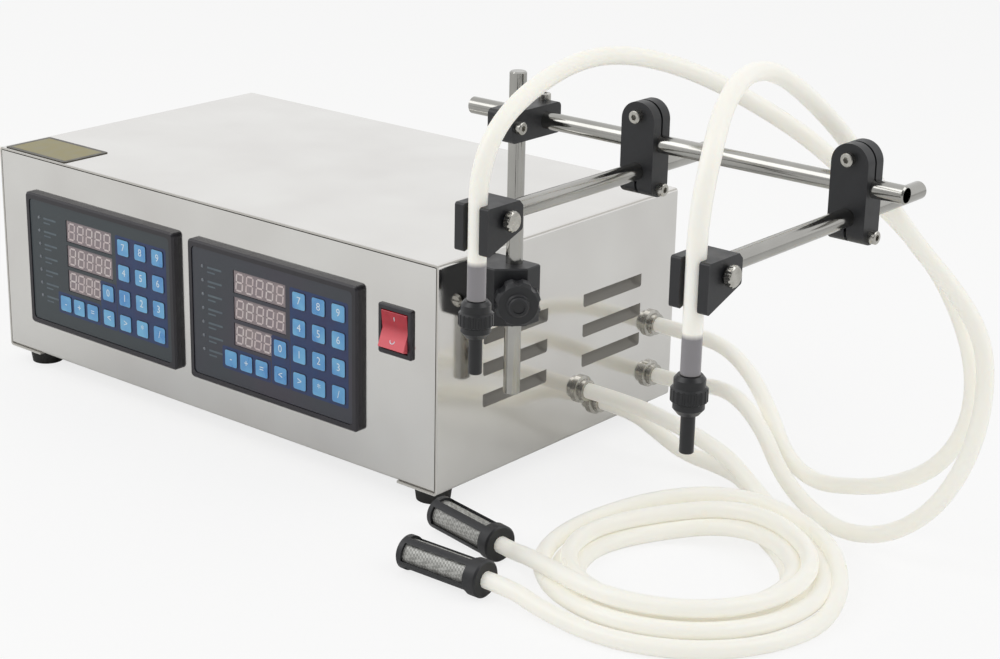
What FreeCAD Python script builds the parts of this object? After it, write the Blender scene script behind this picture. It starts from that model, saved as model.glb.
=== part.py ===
import FreeCAD, Part
import Sketcher
import math
import os

# Two-head liquid filling machine: a sheet steel case with two dosing controllers and two gear
# pumps, a side stand that carries two nozzle holders, and silicone hoses with floor strainers.
# Machine axes: X right, Y back, Z up, zero on the floor under the middle of the case.

DRIVING_SIZES = {
    # case
    "case_width": 400.0,
    "case_depth": 235.0,
    "case_height": 143.5,
    "sheet_metal": 1.5,
    "bend_radius": 1.0,
    "seam": 0.6,
    "flange_width": 32.0,
    "foot_height": 11.0,
    "foot_radius": 12.0,
    "foot_inset_x": 18.0,
    "foot_inset_y": 17.5,
    "screw_radius": 2.0,
    "screw_head_radius": 4.0,
    "screw_head_height": 2.4,
    "screw_play": 0.15,
    "label_width": 62.0,
    "label_depth": 38.0,
    "label_thickness": 0.5,
    "label_inset_x": 36.0,
    "label_inset_y": 20.0,
    # louvres pressed into the side panels
    "louvre_length": 61.0,
    "louvre_rise": 8.5,
    "louvre_corner": 2.0,
    "louvre_top_row": 85.0,
    "louvre_pitch": 20.0,
    "louvre_rear_y": 50.5,
    "louvre_group_pitch": 96.5,
    # dosing controllers
    "controller_width": 148.0,
    "controller_height": 93.0,
    "controller_proud": 4.8,
    "controller_depth": 42.0,
    "controller_wall": 2.0,
    "controller_rim": 4.0,
    "controller_corner": 3.0,
    "controller_right_x": 65.8,
    "controller_left_x": -95.5,
    "controller_mid_z": 72.1,
    "recess_depth": 1.6,
    "overlay_thickness": 1.0,
    "overlay_play": 0.2,
    "key_size": 11.2,
    "key_rise": 0.4,
    "key_row_pitch": 17.35,
    "key_top_row": 26.7,
    "key_left_column": -35.6,
    "key_left_pitch": 13.8,
    "key_right_column": 8.7,
    "key_right_pitch": 16.6,
    "window_left": -32.5,
    "window_width": 46.0,
    "window_short_width": 34.0,
    "window_height": 15.0,
    "window_sunk": 0.5,
    "display_depth": 9.0,
    "board_thickness": 1.6,
    # rocker switch
    "switch_width": 27.0,
    "switch_height": 31.0,
    "switch_rim": 3.0,
    "switch_proud": 2.0,
    "switch_depth": 20.0,
    "switch_x": 167.5,
    "switch_mid_z": 96.5,
    "rocker_play": 0.4,
    "rocker_tilt": 8.0,
    # rear panel
    "inlet_width": 50.0,
    "inlet_height": 28.0,
    "inlet_flange": 2.5,
    "inlet_rim": 4.0,
    "blade_width": 2.0,
    "blade_height": 4.0,
    "blade_spacing": 7.0,
    "blade_rise": 4.0,
    "inlet_depth": 20.0,
    "inlet_x": -120.0,
    "inlet_z": 40.0,
    "socket_width": 24.5,
    "socket_height": 17.0,
    "fuse_radius": 7.5,
    "fuse_cap": 8.0,
    "fuse_depth": 28.0,
    "fuse_spacing": 45.0,
    "supply_x": -120.0,
    "supply_y": 30.0,
    "supply_width": 70.0,
    "supply_length": 120.0,
    "supply_height": 38.0,
    "terminal_level": 16.0,
    "terminal_strip": 14.0,
    "terminal_pitch": 10.0,
    "vent_pitch": 12.0,
    # pumps
    "gear_module": 1.3,
    "gear_width": 14.0,
    "gear_play": 0.12,
    "shaft_radius": 3.0,
    "shaft_play": 0.05,
    "pump_rim": 7.0,
    "pump_wall": 6.0,
    "port_spacing": 32.0,
    "motor_radius": 21.0,
    "motor_length": 62.0,
    "pump_face_x": 20.0,
    "pump_y": 75.0,
    "upper_pump_z": 100.0,
    "lower_pump_z": 43.0,
    "bracket_thickness": 2.5,
    "bracket_width": 64.0,
    # stand
    "rod_radius": 5.0,
    "rod_bore": 4.0,
    "rod_chamfer": 0.8,
    "rod_fit": 0.05,
    "post_offset": 19.5,
    "post_y": -73.5,
    "post_bottom": 70.0,
    "post_length": 194.0,
    "block_reach": 14.2,
    "block_front": 18.5,
    "block_back": 8.0,
    "block_cut": 13.7,
    "block_bottom": 116.0,
    "block_height": 35.0,
    "knob_radius": 13.5,
    "knob_gap": 3.5,
    "knob_height": 11.0,
    "knob_screw_radius": 3.0,
    "knob_boss_radius": 6.0,
    "knob_boss": 4.0,
    "block_screw_offset": 12.5,
    "block_screw_drop": 7.0,
    "block_bolt_depth": 13.0,
    "block_screw_depth": 10.0,
    "screw_clearance": 0.3,
    "rail_height": 234.4,
    "rail_spacing": 15.5,
    "rail_left": 173.0,
    "rail_length": 289.0,
    "clamp_width": 18.0,
    "clamp_front": 15.5,
    "clamp_back": 13.0,
    "clamp_slit": 1.5,
    "cap_screw_radius": 2.1,
    "cap_head_radius": 3.6,
    "cap_head_height": 4.0,
    "arm_clamp_width": 22.0,
    "arm_clamp_depth": 15.0,
    "arm_clamp_above": 23.0,
    "arm_clamp_below": 30.0,
    "arm_drop": 16.0,
    "nozzle_offset": 98.0,
    "nozzle_spacing": 134.0,
    "nozzle_y": -200.0,
    "arm_rear": 10.0,
    # nozzle holders and nozzles
    "holder_width": 22.0,
    "holder_depth": 28.0,
    "holder_nozzle_y": 23.0,
    "holder_above": 8.6,
    "holder_below": 17.4,
    "holder_back_below": 7.0,
    "holder_socket": 16.0,
    "thumb_back": 12.5,
    "slot_play": 0.3,
    "thumb_radius": 5.5,
    "thumb_length": 5.0,
    "left_tip_height": 136.0,
    "right_tip_height": 129.0,
    "tip_radius": 3.6,
    "tip_shoulder": 4.6,
    "tip_bore": 2.0,
    "tip_length": 20.0,
    "collar_radius": 9.25,
    "collar_length": 20.0,
    "barb_length": 18.0,
    # hoses, fittings and strainers
    "hose_radius": 5.0,
    "hose_bore": 3.5,
    "hose_gap": 0.3,
    "fitting_flange": 9.0,
    "fitting_reach": 6.0,
    "fitting_nut": 5.0,
    "fitting_thread": 5.0,
    "fitting_bore": 2.0,
    "upper_outlet_z": 68.0,
    "lower_outlet_z": 33.0,
    "outlet_y": 93.0,
    "inlet_front_y": 20.0,
    "inlet_front_z": 42.0,
    "inlet_rear_y": 36.0,
    "inlet_rear_z": 30.0,
    "coil_x": 365.0,
    "coil_y": -99.0,
    "coil_outer": 84.0,
    "coil_inner": 53.0,
    "coil_height": 22.0,
    "strainer_radius": 10.0,
    "strainer_length": 58.0,
    "strainer_wall": 1.5,
    "strainer_collar": 10.8,
    "strainer_band": 7.0,
    "strainer_window": 10.4,
    "mesh_gap": 0.3,
    "mesh_thickness": 0.6,
}

V = FreeCAD.Vector
ROOT_HALF = math.sqrt(0.5)
# radial room of a clamped or pressed bore
TIGHT = 0.02
doc = FreeCAD.newDocument("liquid_filling_machine")
sheet = doc.addObject("Spreadsheet::Sheet", "sizes")
NODES = []


class Size:
    """A length together with the sheet formula that gives it."""

    def __init__(self, value, formula):
        self.value = float(value)
        self.formula = formula

    def __add__(self, other):
        other = as_size(other)
        return Size(self.value + other.value, f"({self.formula} + {other.formula})")

    def __sub__(self, other):
        other = as_size(other)
        return Size(self.value - other.value, f"({self.formula} - {other.formula})")

    def __rsub__(self, other):
        return as_size(other) - self

    def __mul__(self, factor):
        factor = as_size(factor)
        return Size(self.value * factor.value, f"({self.formula} * {factor.formula})")

    def __truediv__(self, factor):
        return Size(self.value / factor, f"({self.formula} / {factor})")

    def __neg__(self):
        return self * -1.0

    __radd__ = __add__
    __rmul__ = __mul__


def as_size(number):
    """A plain number becomes a size with itself as its formula."""
    if isinstance(number, Size):
        return number
    return Size(number, f"{number:.9f}")


class SheetSizes:
    """Every driving size by its name, as in S.case_width."""

    def __init__(self, values):
        for row, (alias, value) in enumerate(values.items(), start=1):
            sheet.set(f"A{row}", alias)
            sheet.set(f"B{row}", str(value))
            sheet.setAlias(f"B{row}", alias)
            setattr(self, alias, Size(value, f"sizes.{alias}"))


S = SheetSizes(DRIVING_SIZES)
doc.recompute()

HALF_WIDTH = S.case_width / 2
HALF_DEPTH = S.case_depth / 2
CASE_TOP = S.foot_height + S.case_height
POST_X = HALF_WIDTH + S.post_offset
RAIL_Y = S.post_y + S.rail_spacing
RAIL_RIGHT = S.rail_left + S.rail_length
ARM_HEIGHT = S.rail_height - S.arm_drop
NOZZLE_XS = {"left": HALF_WIDTH + S.nozzle_offset}
NOZZLE_XS["right"] = NOZZLE_XS["left"] + S.nozzle_spacing
TIP_HEIGHTS = {"left": S.left_tip_height, "right": S.right_tip_height}
HOLDER_BACK = S.nozzle_y + S.holder_nozzle_y
GEAR_TEETH = 14
GEAR_CENTRES = S.gear_module * GEAR_TEETH
# the part's origin: middle of its footprint, on the floor
REAR_LIMIT = HALF_DEPTH + S.fuse_cap
FRONT_LIMIT = S.nozzle_y - S.collar_radius
ORIGIN = ((RAIL_RIGHT - HALF_WIDTH) / 2, (REAR_LIMIT + FRONT_LIMIT) / 2, as_size(0))

ALONG_X = FreeCAD.Rotation(V(0, 0, 1), V(1, 0, 0))
ALONG_Y = FreeCAD.Rotation(V(0, 0, 1), V(0, 1, 0))
ALONG_MINUS_Y = FreeCAD.Rotation(V(0, 0, 1), V(0, -1, 0))
FACING_BACK = FreeCAD.Rotation(V(0, 0, 1), 180)


def bind(item, name, number):
    """Bind one property or constraint to its sheet formula."""
    item.setExpression(name, as_size(number).formula)


def node(item, label):
    """Register an object as one part file."""
    item.Label = label
    NODES.append(item)
    return item


def new_body(name):
    return doc.addObject("PartDesign::Body", name)


def place(item, x, y, z, rotation=None):
    """Set an object down at machine coordinates, shifted to the part's origin."""
    item.Placement = FreeCAD.Placement(V(), rotation or FreeCAD.Rotation())
    for axis, spot, origin in zip("xyz", (x, y, z), ORIGIN):
        bind(item, f"Placement.Base.{axis}", as_size(spot) - origin)
    return item


def sketch_in(body, name, plane, lift=0, shift=(0, 0), turn=None):
    """A sketch on one of the body's own origin planes, lifted and shifted by sheet sizes."""
    sketch = body.newObject("Sketcher::SketchObject", name)
    plane_object = next(item for item in body.Origin.OriginFeatures if item.Role == f"{plane}_Plane")
    sketch.AttachmentSupport = [(plane_object, "")]
    sketch.MapMode = "FlatFace"
    if turn:
        sketch.AttachmentOffset = FreeCAD.Placement(V(), turn)
    for axis, length in zip("xyz", (*shift, lift)):
        bind(sketch, f"AttachmentOffset.Base.{axis}", length)
    return sketch


def pin(sketch, geometry, vertex, spot):
    """Hold one vertex at sheet driven coordinates."""
    for kind, length in zip(("DistanceX", "DistanceY"), spot):
        index = sketch.addConstraint(
            Sketcher.Constraint(kind, -1, 1, geometry, vertex, length.value))
        bind(sketch, f"Constraints[{index}]", length)


def direction(start, end):
    """Unit vector and length of the step between two sized points."""
    step = V(end[0].value - start[0].value, end[1].value - start[1].value, 0)
    return step.normalize()


def draw(sketch, corners):
    """Closed outline of straight sides, each corner (u, v) or (u, v, rounding radius)."""
    points = [tuple(as_size(number) for number in corner[:2]) for corner in corners]
    radii = [as_size(corner[2]) if len(corner) > 2 else None for corner in corners]
    count = len(points)
    starts = list(points)
    ends = list(points)
    arcs = {}
    for index, radius in enumerate(radii):
        if radius is None:
            continue
        point = points[index]
        way_in = direction(points[index - 1], point)
        way_out = direction(point, points[(index + 1) % count])
        left_turn = way_in.cross(way_out).z > 0
        reach = radius * math.tan(way_in.getAngle(way_out) / 2)
        ends[index] = (point[0] - reach * way_in.x, point[1] - reach * way_in.y)
        starts[index] = (point[0] + reach * way_out.x, point[1] + reach * way_out.y)
        side = 1 if left_turn else -1
        centre = (ends[index][0] - radius * side * way_in.y, ends[index][1] + radius * side * way_in.x)
        arcs[index] = (radius, centre, left_turn)
    first = sketch.GeometryCount
    for index in range(count):
        start = starts[index]
        end = ends[(index + 1) % count]
        line = Part.LineSegment(V(start[0].value, start[1].value, 0), V(end[0].value, end[1].value, 0))
        sketch.addGeometry(line, False)
    for index in range(count):
        following = (index + 1) % count
        pin(sketch, first + index, 1, starts[index])
        if following not in arcs:
            sketch.addConstraint(
                Sketcher.Constraint("Coincident", first + index, 2, first + following, 1))
            continue
        pin(sketch, first + index, 2, ends[following])
        draw_corner(sketch, first, index, following, arcs[following], ends, starts)


def draw_corner(sketch, first, index, following, arc, ends, starts):
    """Round corner between two sides that are already drawn."""
    radius, centre, left_turn = arc
    middle = V(centre[0].value, centre[1].value, 0)
    before = V(ends[following][0].value, ends[following][1].value, 0) - middle
    after = V(starts[following][0].value, starts[following][1].value, 0) - middle
    if not left_turn:
        before, after = after, before
    circle = Part.Circle(middle, V(0, 0, 1), radius.value)
    turns = [math.atan2(spoke.y, spoke.x) for spoke in (before, after)]
    added = sketch.addGeometry(Part.ArcOfCircle(circle, turns[0], turns[1]), False)
    near, far = (1, 2) if left_turn else (2, 1)
    sketch.addConstraint([
        Sketcher.Constraint("Coincident", added, near, first + index, 2),
        Sketcher.Constraint("Coincident", added, far, first + following, 1),
    ])
    held = sketch.addConstraint(Sketcher.Constraint("Radius", added, radius.value))
    bind(sketch, f"Constraints[{held}]", radius)


def rectangle(u, v, width, height, radius=None):
    """Corners of a rectangle about (u, v), rounded when a radius is given."""
    u, v, width, height = (as_size(number) for number in (u, v, width, height))
    tail = () if radius is None else (radius,)
    right, left, top, bottom = u + width / 2, u - width / 2, v + height / 2, v - height / 2
    return [(right, bottom, *tail), (right, top, *tail), (left, top, *tail), (left, bottom, *tail)]


def span(left, right, bottom, top):
    """Corners of a sharp rectangle between its limits."""
    return [(right, bottom), (right, top), (left, top), (left, bottom)]


def draw_circle(sketch, u, v, radius):
    u, v, radius = (as_size(number) for number in (u, v, radius))
    circle = Part.Circle(V(u.value, v.value, 0), V(0, 0, 1), radius.value)
    added = sketch.addGeometry(circle, False)
    pin(sketch, added, 3, (u, v))
    held = sketch.addConstraint(Sketcher.Constraint("Radius", added, radius.value))
    bind(sketch, f"Constraints[{held}]", radius)


def outline(body, name, plane, corners, **attachment):
    sketch = sketch_in(body, f"{name}_sketch", plane, **attachment)
    draw(sketch, corners)
    return sketch


def circles(body, name, plane, spots, **attachment):
    """Sketch of circles, each given as (u, v, radius)."""
    sketch = sketch_in(body, f"{name}_sketch", plane, **attachment)
    for spot in spots:
        draw_circle(sketch, *spot)
    return sketch


def extrude(kind, body, name, sketch, length, reverse=False, symmetric=False):
    item = body.newObject(f"PartDesign::{kind}", name)
    item.Profile = sketch
    bind(item, "Length", length)
    item.Reversed = reverse
    if symmetric:
        item.SideType = "Symmetric"
    return item


def pad(body, name, sketch, length, **how):
    return extrude("Pad", body, name, sketch, length, **how)


def pocket(body, name, sketch, length, **how):
    return extrude("Pocket", body, name, sketch, length, **how)


def turned(kind, body, name, sketch, angle=360, axis="V_Axis", reverse=False):
    """Revolution or Groove of a sketch about one of its own axes."""
    item = body.newObject(f"PartDesign::{kind}", name)
    item.Profile = sketch
    item.ReferenceAxis = (sketch, [axis])
    item.Angle = angle
    item.Reversed = reverse
    return item


def lathe(body, name, corners):
    """Solid of revolution about the body's Z, from (radius, height) corners."""
    return turned("Revolution", body, name, outline(body, name, "XZ", corners))


def ring_of(body, name, originals, count):
    """Repeat features round the body's Z axis."""
    item = body.newObject("PartDesign::PolarPattern", name)
    item.Originals = originals
    axis = next(part for part in body.Origin.OriginFeatures if part.Role == "Z_Axis")
    item.Axis = (axis, [""])
    item.Angle = 360
    item.Occurrences = count
    body.Tip = item
    return item


def dress(kind, body, name, base, amount, test):
    """Fillet or Chamfer of the edges of a feature that pass a test."""
    doc.recompute()
    names = [f"Edge{index}" for index, edge in enumerate(base.Shape.Edges, 1) if test(edge)]
    item = body.newObject(f"PartDesign::{kind}", name)
    item.Base = (base, names)
    bind(item, "Radius" if kind == "Fillet" else "Size", amount)
    return item


def lies_at(edge, axis, level):
    """True when a whole edge lies in the plane at one level of an axis."""
    box = edge.BoundBox
    limits = (getattr(box, f"{axis.upper()}Min"), getattr(box, f"{axis.upper()}Max"))
    return all(abs(limit - level) < 0.01 for limit in limits)


def group(label, maker, spots):
    """One node of equal pieces: maker builds each, and spots holds their places."""
    return bundle(label, [place(maker(f"{label}_{number}"), *spot)
                          for number, spot in enumerate(spots, 1)])


def bundle(label, pieces):
    """One node of pieces that are already placed."""
    compound = doc.addObject("Part::Compound", label)
    compound.Links = pieces
    return node(compound, label)


def make_cover():
    """Top and side panels bent from one sheet, with inward flanges and pressed louvres."""
    body = new_body("cover_shell")
    left, right, top = -HALF_WIDTH, HALF_WIDTH, S.case_height
    wall, lip = S.sheet_metal, S.flange_width
    section = [
        (left + lip, 0), (left + lip, wall),
        (left + wall, wall, S.bend_radius), (left + wall, top - wall, S.bend_radius),
        (right - wall, top - wall, S.bend_radius), (right - wall, wall, S.bend_radius),
        (right - lip, wall), (right - lip, 0),
        (right, 0, S.bend_radius + wall), (right, top, S.bend_radius + wall),
        (left, top, S.bend_radius + wall), (left, 0, S.bend_radius + wall),
    ]
    pad(body, "shell", outline(body, "shell", "XZ", section), S.case_depth, symmetric=True)
    inner_face = HALF_WIDTH - wall
    for row in range(3):
        level = S.louvre_top_row + S.louvre_rise - row * S.louvre_pitch
        for column in range(2):
            middle = S.louvre_rear_y - column * S.louvre_group_pitch
            for side in (1, -1):
                make_louvre(body, f"louvre_{row}_{column}_{'r' if side > 0 else 'l'}",
                            inner_face * side, (middle, level), side)
    hole = S.screw_radius + S.screw_play
    floor_holes = [(x, y, hole) for x, y in foot_spots() + cover_screw_spots()]
    drill = circles(body, "floor_holes", "XY", floor_holes)
    pocket(body, "floor_holes", drill, wall + 1, reverse=True)
    panel_holes = [(y, z - S.foot_height, S.fitting_thread + S.screw_play) for y, z in fitting_spots()]
    block_z = S.block_bottom + S.block_height / 2 - S.foot_height
    panel_holes += [(y, block_z, hole) for y in block_bolt_ys()]
    drill = circles(body, "panel_holes", "YZ", panel_holes, lift=inner_face - 1)
    pocket(body, "panel_holes", drill, wall + 2, reverse=True)
    place(body, 0, 0, S.foot_height)
    return node(body, "cover_shell")


def make_louvre(body, name, face, spot, side):
    """Hood pressed inward along the slot's lower edge, open upward inside the case."""
    wall = S.sheet_metal
    long, rise = S.louvre_length, S.louvre_rise
    outer = [(-(long / 2) - wall, -rise - wall, S.louvre_corner + wall),
             (long / 2 + wall, -rise - wall, S.louvre_corner + wall),
             (long / 2 + wall, 0), (-(long / 2) - wall, 0)]
    inner = [(-(long / 2), -rise, S.louvre_corner), (long / 2, -rise, S.louvre_corner),
             (long / 2, 0), (-(long / 2), 0)]
    hood = outline(body, f"{name}_hood", "YZ", outer, lift=face, shift=spot)
    turned("Revolution", body, f"{name}_hood", hood, 90, "H_Axis", reverse=side < 0)
    hollow = outline(body, f"{name}_hollow", "YZ", inner, lift=face, shift=spot)
    turned("Groove", body, f"{name}_hollow", hollow, 90, "H_Axis", reverse=side < 0)
    slot = outline(body, f"{name}_slot", "YZ", inner, lift=face, shift=spot)
    pocket(body, f"{name}_slot", slot, wall + 1, reverse=side > 0)


def foot_spots():
    across, along = HALF_WIDTH - S.foot_inset_x, HALF_DEPTH - S.foot_inset_y
    return [(across * i, along * j) for i in (-1, 1) for j in (-1, 1)]


def cover_screw_spots():
    across, along = HALF_WIDTH - S.flange_width / 2, HALF_DEPTH / 2.5
    return [(across * i, along * j) for i in (-1, 1) for j in (-1, 1)]


def fitting_spots():
    """Places (y, z) of the outlets and inlets on the right panel."""
    return [(S.outlet_y, S.upper_outlet_z), (S.outlet_y, S.lower_outlet_z),
            (S.inlet_front_y, S.inlet_front_z), (S.inlet_rear_y, S.inlet_rear_z)]


def block_bolt_ys():
    middle = S.post_y + (S.block_back - S.block_front) / 2
    reach = (S.block_front + S.block_back) / 2 - S.screw_head_radius
    return [middle - reach, middle + reach]


def make_chassis():
    """Front panel, floor and rear panel bent from one sheet."""
    body = new_body("chassis_tray")
    wall, outer_bend = S.sheet_metal, S.bend_radius + S.sheet_metal
    top = S.case_height - wall - S.seam
    section = [
        (-HALF_DEPTH, wall, outer_bend), (HALF_DEPTH, wall, outer_bend),
        (HALF_DEPTH, top), (HALF_DEPTH - wall, top),
        (HALF_DEPTH - wall, wall * 2, S.bend_radius), (-HALF_DEPTH + wall, wall * 2, S.bend_radius),
        (-HALF_DEPTH + wall, top), (-HALF_DEPTH, top),
    ]
    width = S.case_width - 2 * (wall + S.seam)
    pad(body, "tray", outline(body, "tray", "YZ", section), width, symmetric=True)
    openings = sketch_in(body, "front_openings_sketch", "XZ", lift=HALF_DEPTH)
    rim = S.controller_rim
    for middle in (S.controller_left_x, S.controller_right_x):
        draw(openings, rectangle(middle, S.controller_mid_z, S.controller_width - 2 * rim,
                                 S.controller_height - 2 * rim))
    draw(openings, rectangle(S.switch_x, S.switch_mid_z, S.switch_width - S.switch_rim,
                             S.switch_height - S.switch_rim))
    pocket(body, "front_openings", openings, wall + 1)
    rear = sketch_in(body, "rear_openings_sketch", "XZ", lift=-HALF_DEPTH)
    draw(rear, rectangle(S.inlet_x, S.inlet_z, S.inlet_width - 2 * S.inlet_rim,
                         S.inlet_height - 2 * S.inlet_rim))
    draw_circle(rear, S.inlet_x - S.fuse_spacing, S.inlet_z, S.fuse_radius - 1.5)
    pocket(body, "rear_openings", rear, wall + 1, reverse=True)
    hole = S.screw_radius + S.screw_play
    spots = [(x, y, hole) for x, y in foot_spots() + cover_screw_spots()]
    pocket(body, "floor_holes", circles(body, "floor_holes", "XY", spots), wall * 2 + 1, reverse=True)
    place(body, 0, 0, S.foot_height)
    return node(body, "chassis_tray")


def make_foot(name):
    body = new_body(name)
    radius, height, hole = S.foot_radius, S.foot_height, S.screw_radius + S.screw_play
    head = S.screw_head_radius + 1
    lathe(body, "foot", [(head, 0), (radius - 1.5, 0), (radius, height), (hole, height),
                         (hole, height / 2), (head, height / 2)])
    return body


def make_pan_screw(name, length):
    """Screw standing on its head: head below zero, shank above."""
    body = new_body(name)
    shank, head, tall = S.screw_radius, S.screw_head_radius, S.screw_head_height
    lathe(body, "screw", [(0, -tall), (head - 1, -tall), (head, -tall + 1), (head, 0), (shank, 0),
                          (shank, length), (0, length)])
    slot = outline(body, "slot", "XY", rectangle(0, 0, head * 1.5, 0.8), lift=-tall)
    pocket(body, "slot", slot, 0.9, reverse=True)
    return body


def make_cap_screw(name, length):
    """Socket head screw: head above zero, shank below."""
    body = new_body(name)
    shank, head, tall = S.cap_screw_radius - 0.1, S.cap_head_radius, S.cap_head_height
    lathe(body, "screw", [(0, -length), (shank, -length), (shank, 0), (head, 0),
                          (head, tall - 0.4), (head - 0.4, tall), (0, tall)])
    corners = [(head * 0.5 * math.cos(math.radians(60 * k)), head * 0.5 * math.sin(math.radians(60 * k)))
               for k in range(6)]
    socket = outline(body, "socket", "XY", corners, lift=tall)
    pocket(body, "socket", socket, tall / 2)
    return body


def make_case_fittings():
    group("case_feet", make_foot, [(x, y, 0) for x, y in foot_spots()])
    through = S.foot_height / 2 + S.sheet_metal * 3
    group("foot_screws", lambda name: make_pan_screw(name, through),
          [(x, y, S.foot_height / 2) for x, y in foot_spots()])
    short = S.sheet_metal * 3
    group("cover_screws", lambda name: make_pan_screw(name, short),
          [(x, y, S.foot_height) for x, y in cover_screw_spots()])
    plate = new_body("label_plate")
    corners = rectangle(0, 0, S.label_width, S.label_depth, 1.5)
    pad(plate, "plate", outline(plate, "plate", "XY", corners), S.label_thickness)
    place(plate, S.label_inset_x - HALF_WIDTH, S.label_inset_y - HALF_DEPTH, CASE_TOP)
    node(plate, "label_plate")


def window_rectangles(play=0):
    """The three display windows of a controller, upper one first."""
    rows = []
    for row, width in enumerate((S.window_width, S.window_width, S.window_short_width)):
        level = S.key_top_row - row * S.key_row_pitch
        rows.append(rectangle(S.window_left + width / 2, level, width - 2 * play,
                              S.window_height - 2 * play))
    return rows


def key_centres():
    """Key places: three upper rows at the right, and one full row at the bottom."""
    left_block = [S.key_left_column + S.key_left_pitch * k for k in range(3)]
    right_block = [S.key_right_column + S.key_right_pitch * k for k in range(4)]
    columns_by_row = (right_block[1:], right_block[1:], right_block, left_block + right_block)
    return [(column, S.key_top_row - row * S.key_row_pitch)
            for row, columns in enumerate(columns_by_row) for column in columns]


def make_controller(side, middle):
    """Dosing controller: moulded frame, membrane overlay, displays and circuit board."""
    spot = (middle, -HALF_DEPTH, S.foot_height + S.controller_mid_z)
    node(place(make_controller_frame(side), *spot), f"{side}_controller_frame")
    node(place(make_overlay(side), *spot), f"{side}_keypad_overlay")
    node(place(make_board(side), *spot), f"{side}_control_board")
    displays = []
    for number, corners in enumerate(window_rectangles(S.overlay_play), 1):
        module = new_body(f"{side}_display_{number}")
        face = S.controller_proud - S.recess_depth + S.overlay_thickness - S.window_sunk
        sketch = outline(module, "block", "XZ", corners, lift=face - S.display_depth)
        pad(module, "block", sketch, S.display_depth)
        displays.append(place(module, *spot))
    return displays


def make_controller_frame(side):
    body = new_body(f"{side}_controller_frame")
    width, height, proud = S.controller_width, S.controller_height, S.controller_proud
    rim, wall, depth = S.controller_rim, S.controller_wall, S.controller_depth
    front = outline(body, "bezel", "XZ", rectangle(0, 0, width, height, S.controller_corner))
    bezel = pad(body, "bezel", front, proud)
    dress("Chamfer", body, "bezel_edge", bezel, 1.2,
          lambda edge: lies_at(edge, "y", -proud.value))
    recess = rectangle(0, 0, width - 2 * rim, height - 2 * rim, S.controller_corner)
    pocket(body, "recess", outline(body, "recess", "XZ", recess, lift=proud), S.recess_depth)
    casing = rectangle(0, 0, width - 2 * rim - S.seam, height - 2 * rim - S.seam)
    pad(body, "casing", outline(body, "casing", "XZ", casing), depth, reverse=True)
    inside = rectangle(0, 0, width - 2 * (rim + wall), height - 2 * (rim + wall))
    hollow = depth + proud - S.recess_depth - wall
    pocket(body, "hollow", outline(body, "hollow", "XZ", inside, lift=-depth), hollow, reverse=True)
    windows = sketch_in(body, "windows_sketch", "XZ", lift=proud)
    for corners in window_rectangles():
        draw(windows, corners)
    pocket(body, "windows", windows, S.recess_depth + wall + 1)
    return body


def make_overlay(side):
    """Membrane sheet with windows and raised keys, lying in the frame's recess."""
    body = new_body(f"{side}_keypad_overlay")
    rim, play = S.controller_rim, S.overlay_play
    bottom = S.controller_proud - S.recess_depth
    corners = rectangle(0, 0, S.controller_width - 2 * (rim + play),
                        S.controller_height - 2 * (rim + play), S.controller_corner - play)
    pad(body, "membrane", outline(body, "membrane", "XZ", corners, lift=bottom), S.overlay_thickness)
    top = bottom + S.overlay_thickness
    for number, (column, level) in enumerate(key_centres(), 1):
        key = outline(body, f"key_{number}", "XZ",
                      rectangle(column, level, S.key_size, S.key_size, 1.5), lift=top)
        pad(body, f"key_{number}", key, S.key_rise)
    windows = sketch_in(body, "windows_sketch", "XZ", lift=top)
    for corners in window_rectangles():
        draw(windows, corners)
    pocket(body, "windows", windows, S.overlay_thickness + 1)
    return body


def make_board(side):
    """Circuit board behind the displays, with its larger components."""
    body = new_body(f"{side}_control_board")
    inset = 2 * (S.controller_rim + S.controller_wall + S.overlay_play)
    face = S.controller_proud - S.recess_depth + S.overlay_thickness - S.window_sunk - S.display_depth
    width, height = S.controller_width - inset, S.controller_height - inset
    sheet_outline = outline(body, "board", "XZ", rectangle(0, 0, width, height), lift=face)
    pad(body, "board", sheet_outline, S.board_thickness, reverse=True)
    rear = face - S.board_thickness
    parts = (("transformer", -40, 15, 28, 24, 20), ("relay_1", 0, 22, 15, 12, 14),
             ("relay_2", 22, 22, 15, 12, 14), ("terminals", 0, -30, 80, 9, 11),
             ("capacitor", 45, 5, 10, 10, 16))
    for name, u, v, wide, tall, deep in parts:
        block = outline(body, name, "XZ", rectangle(u, v, wide, tall), lift=rear)
        pad(body, name, block, deep, reverse=True)
    return body


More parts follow.
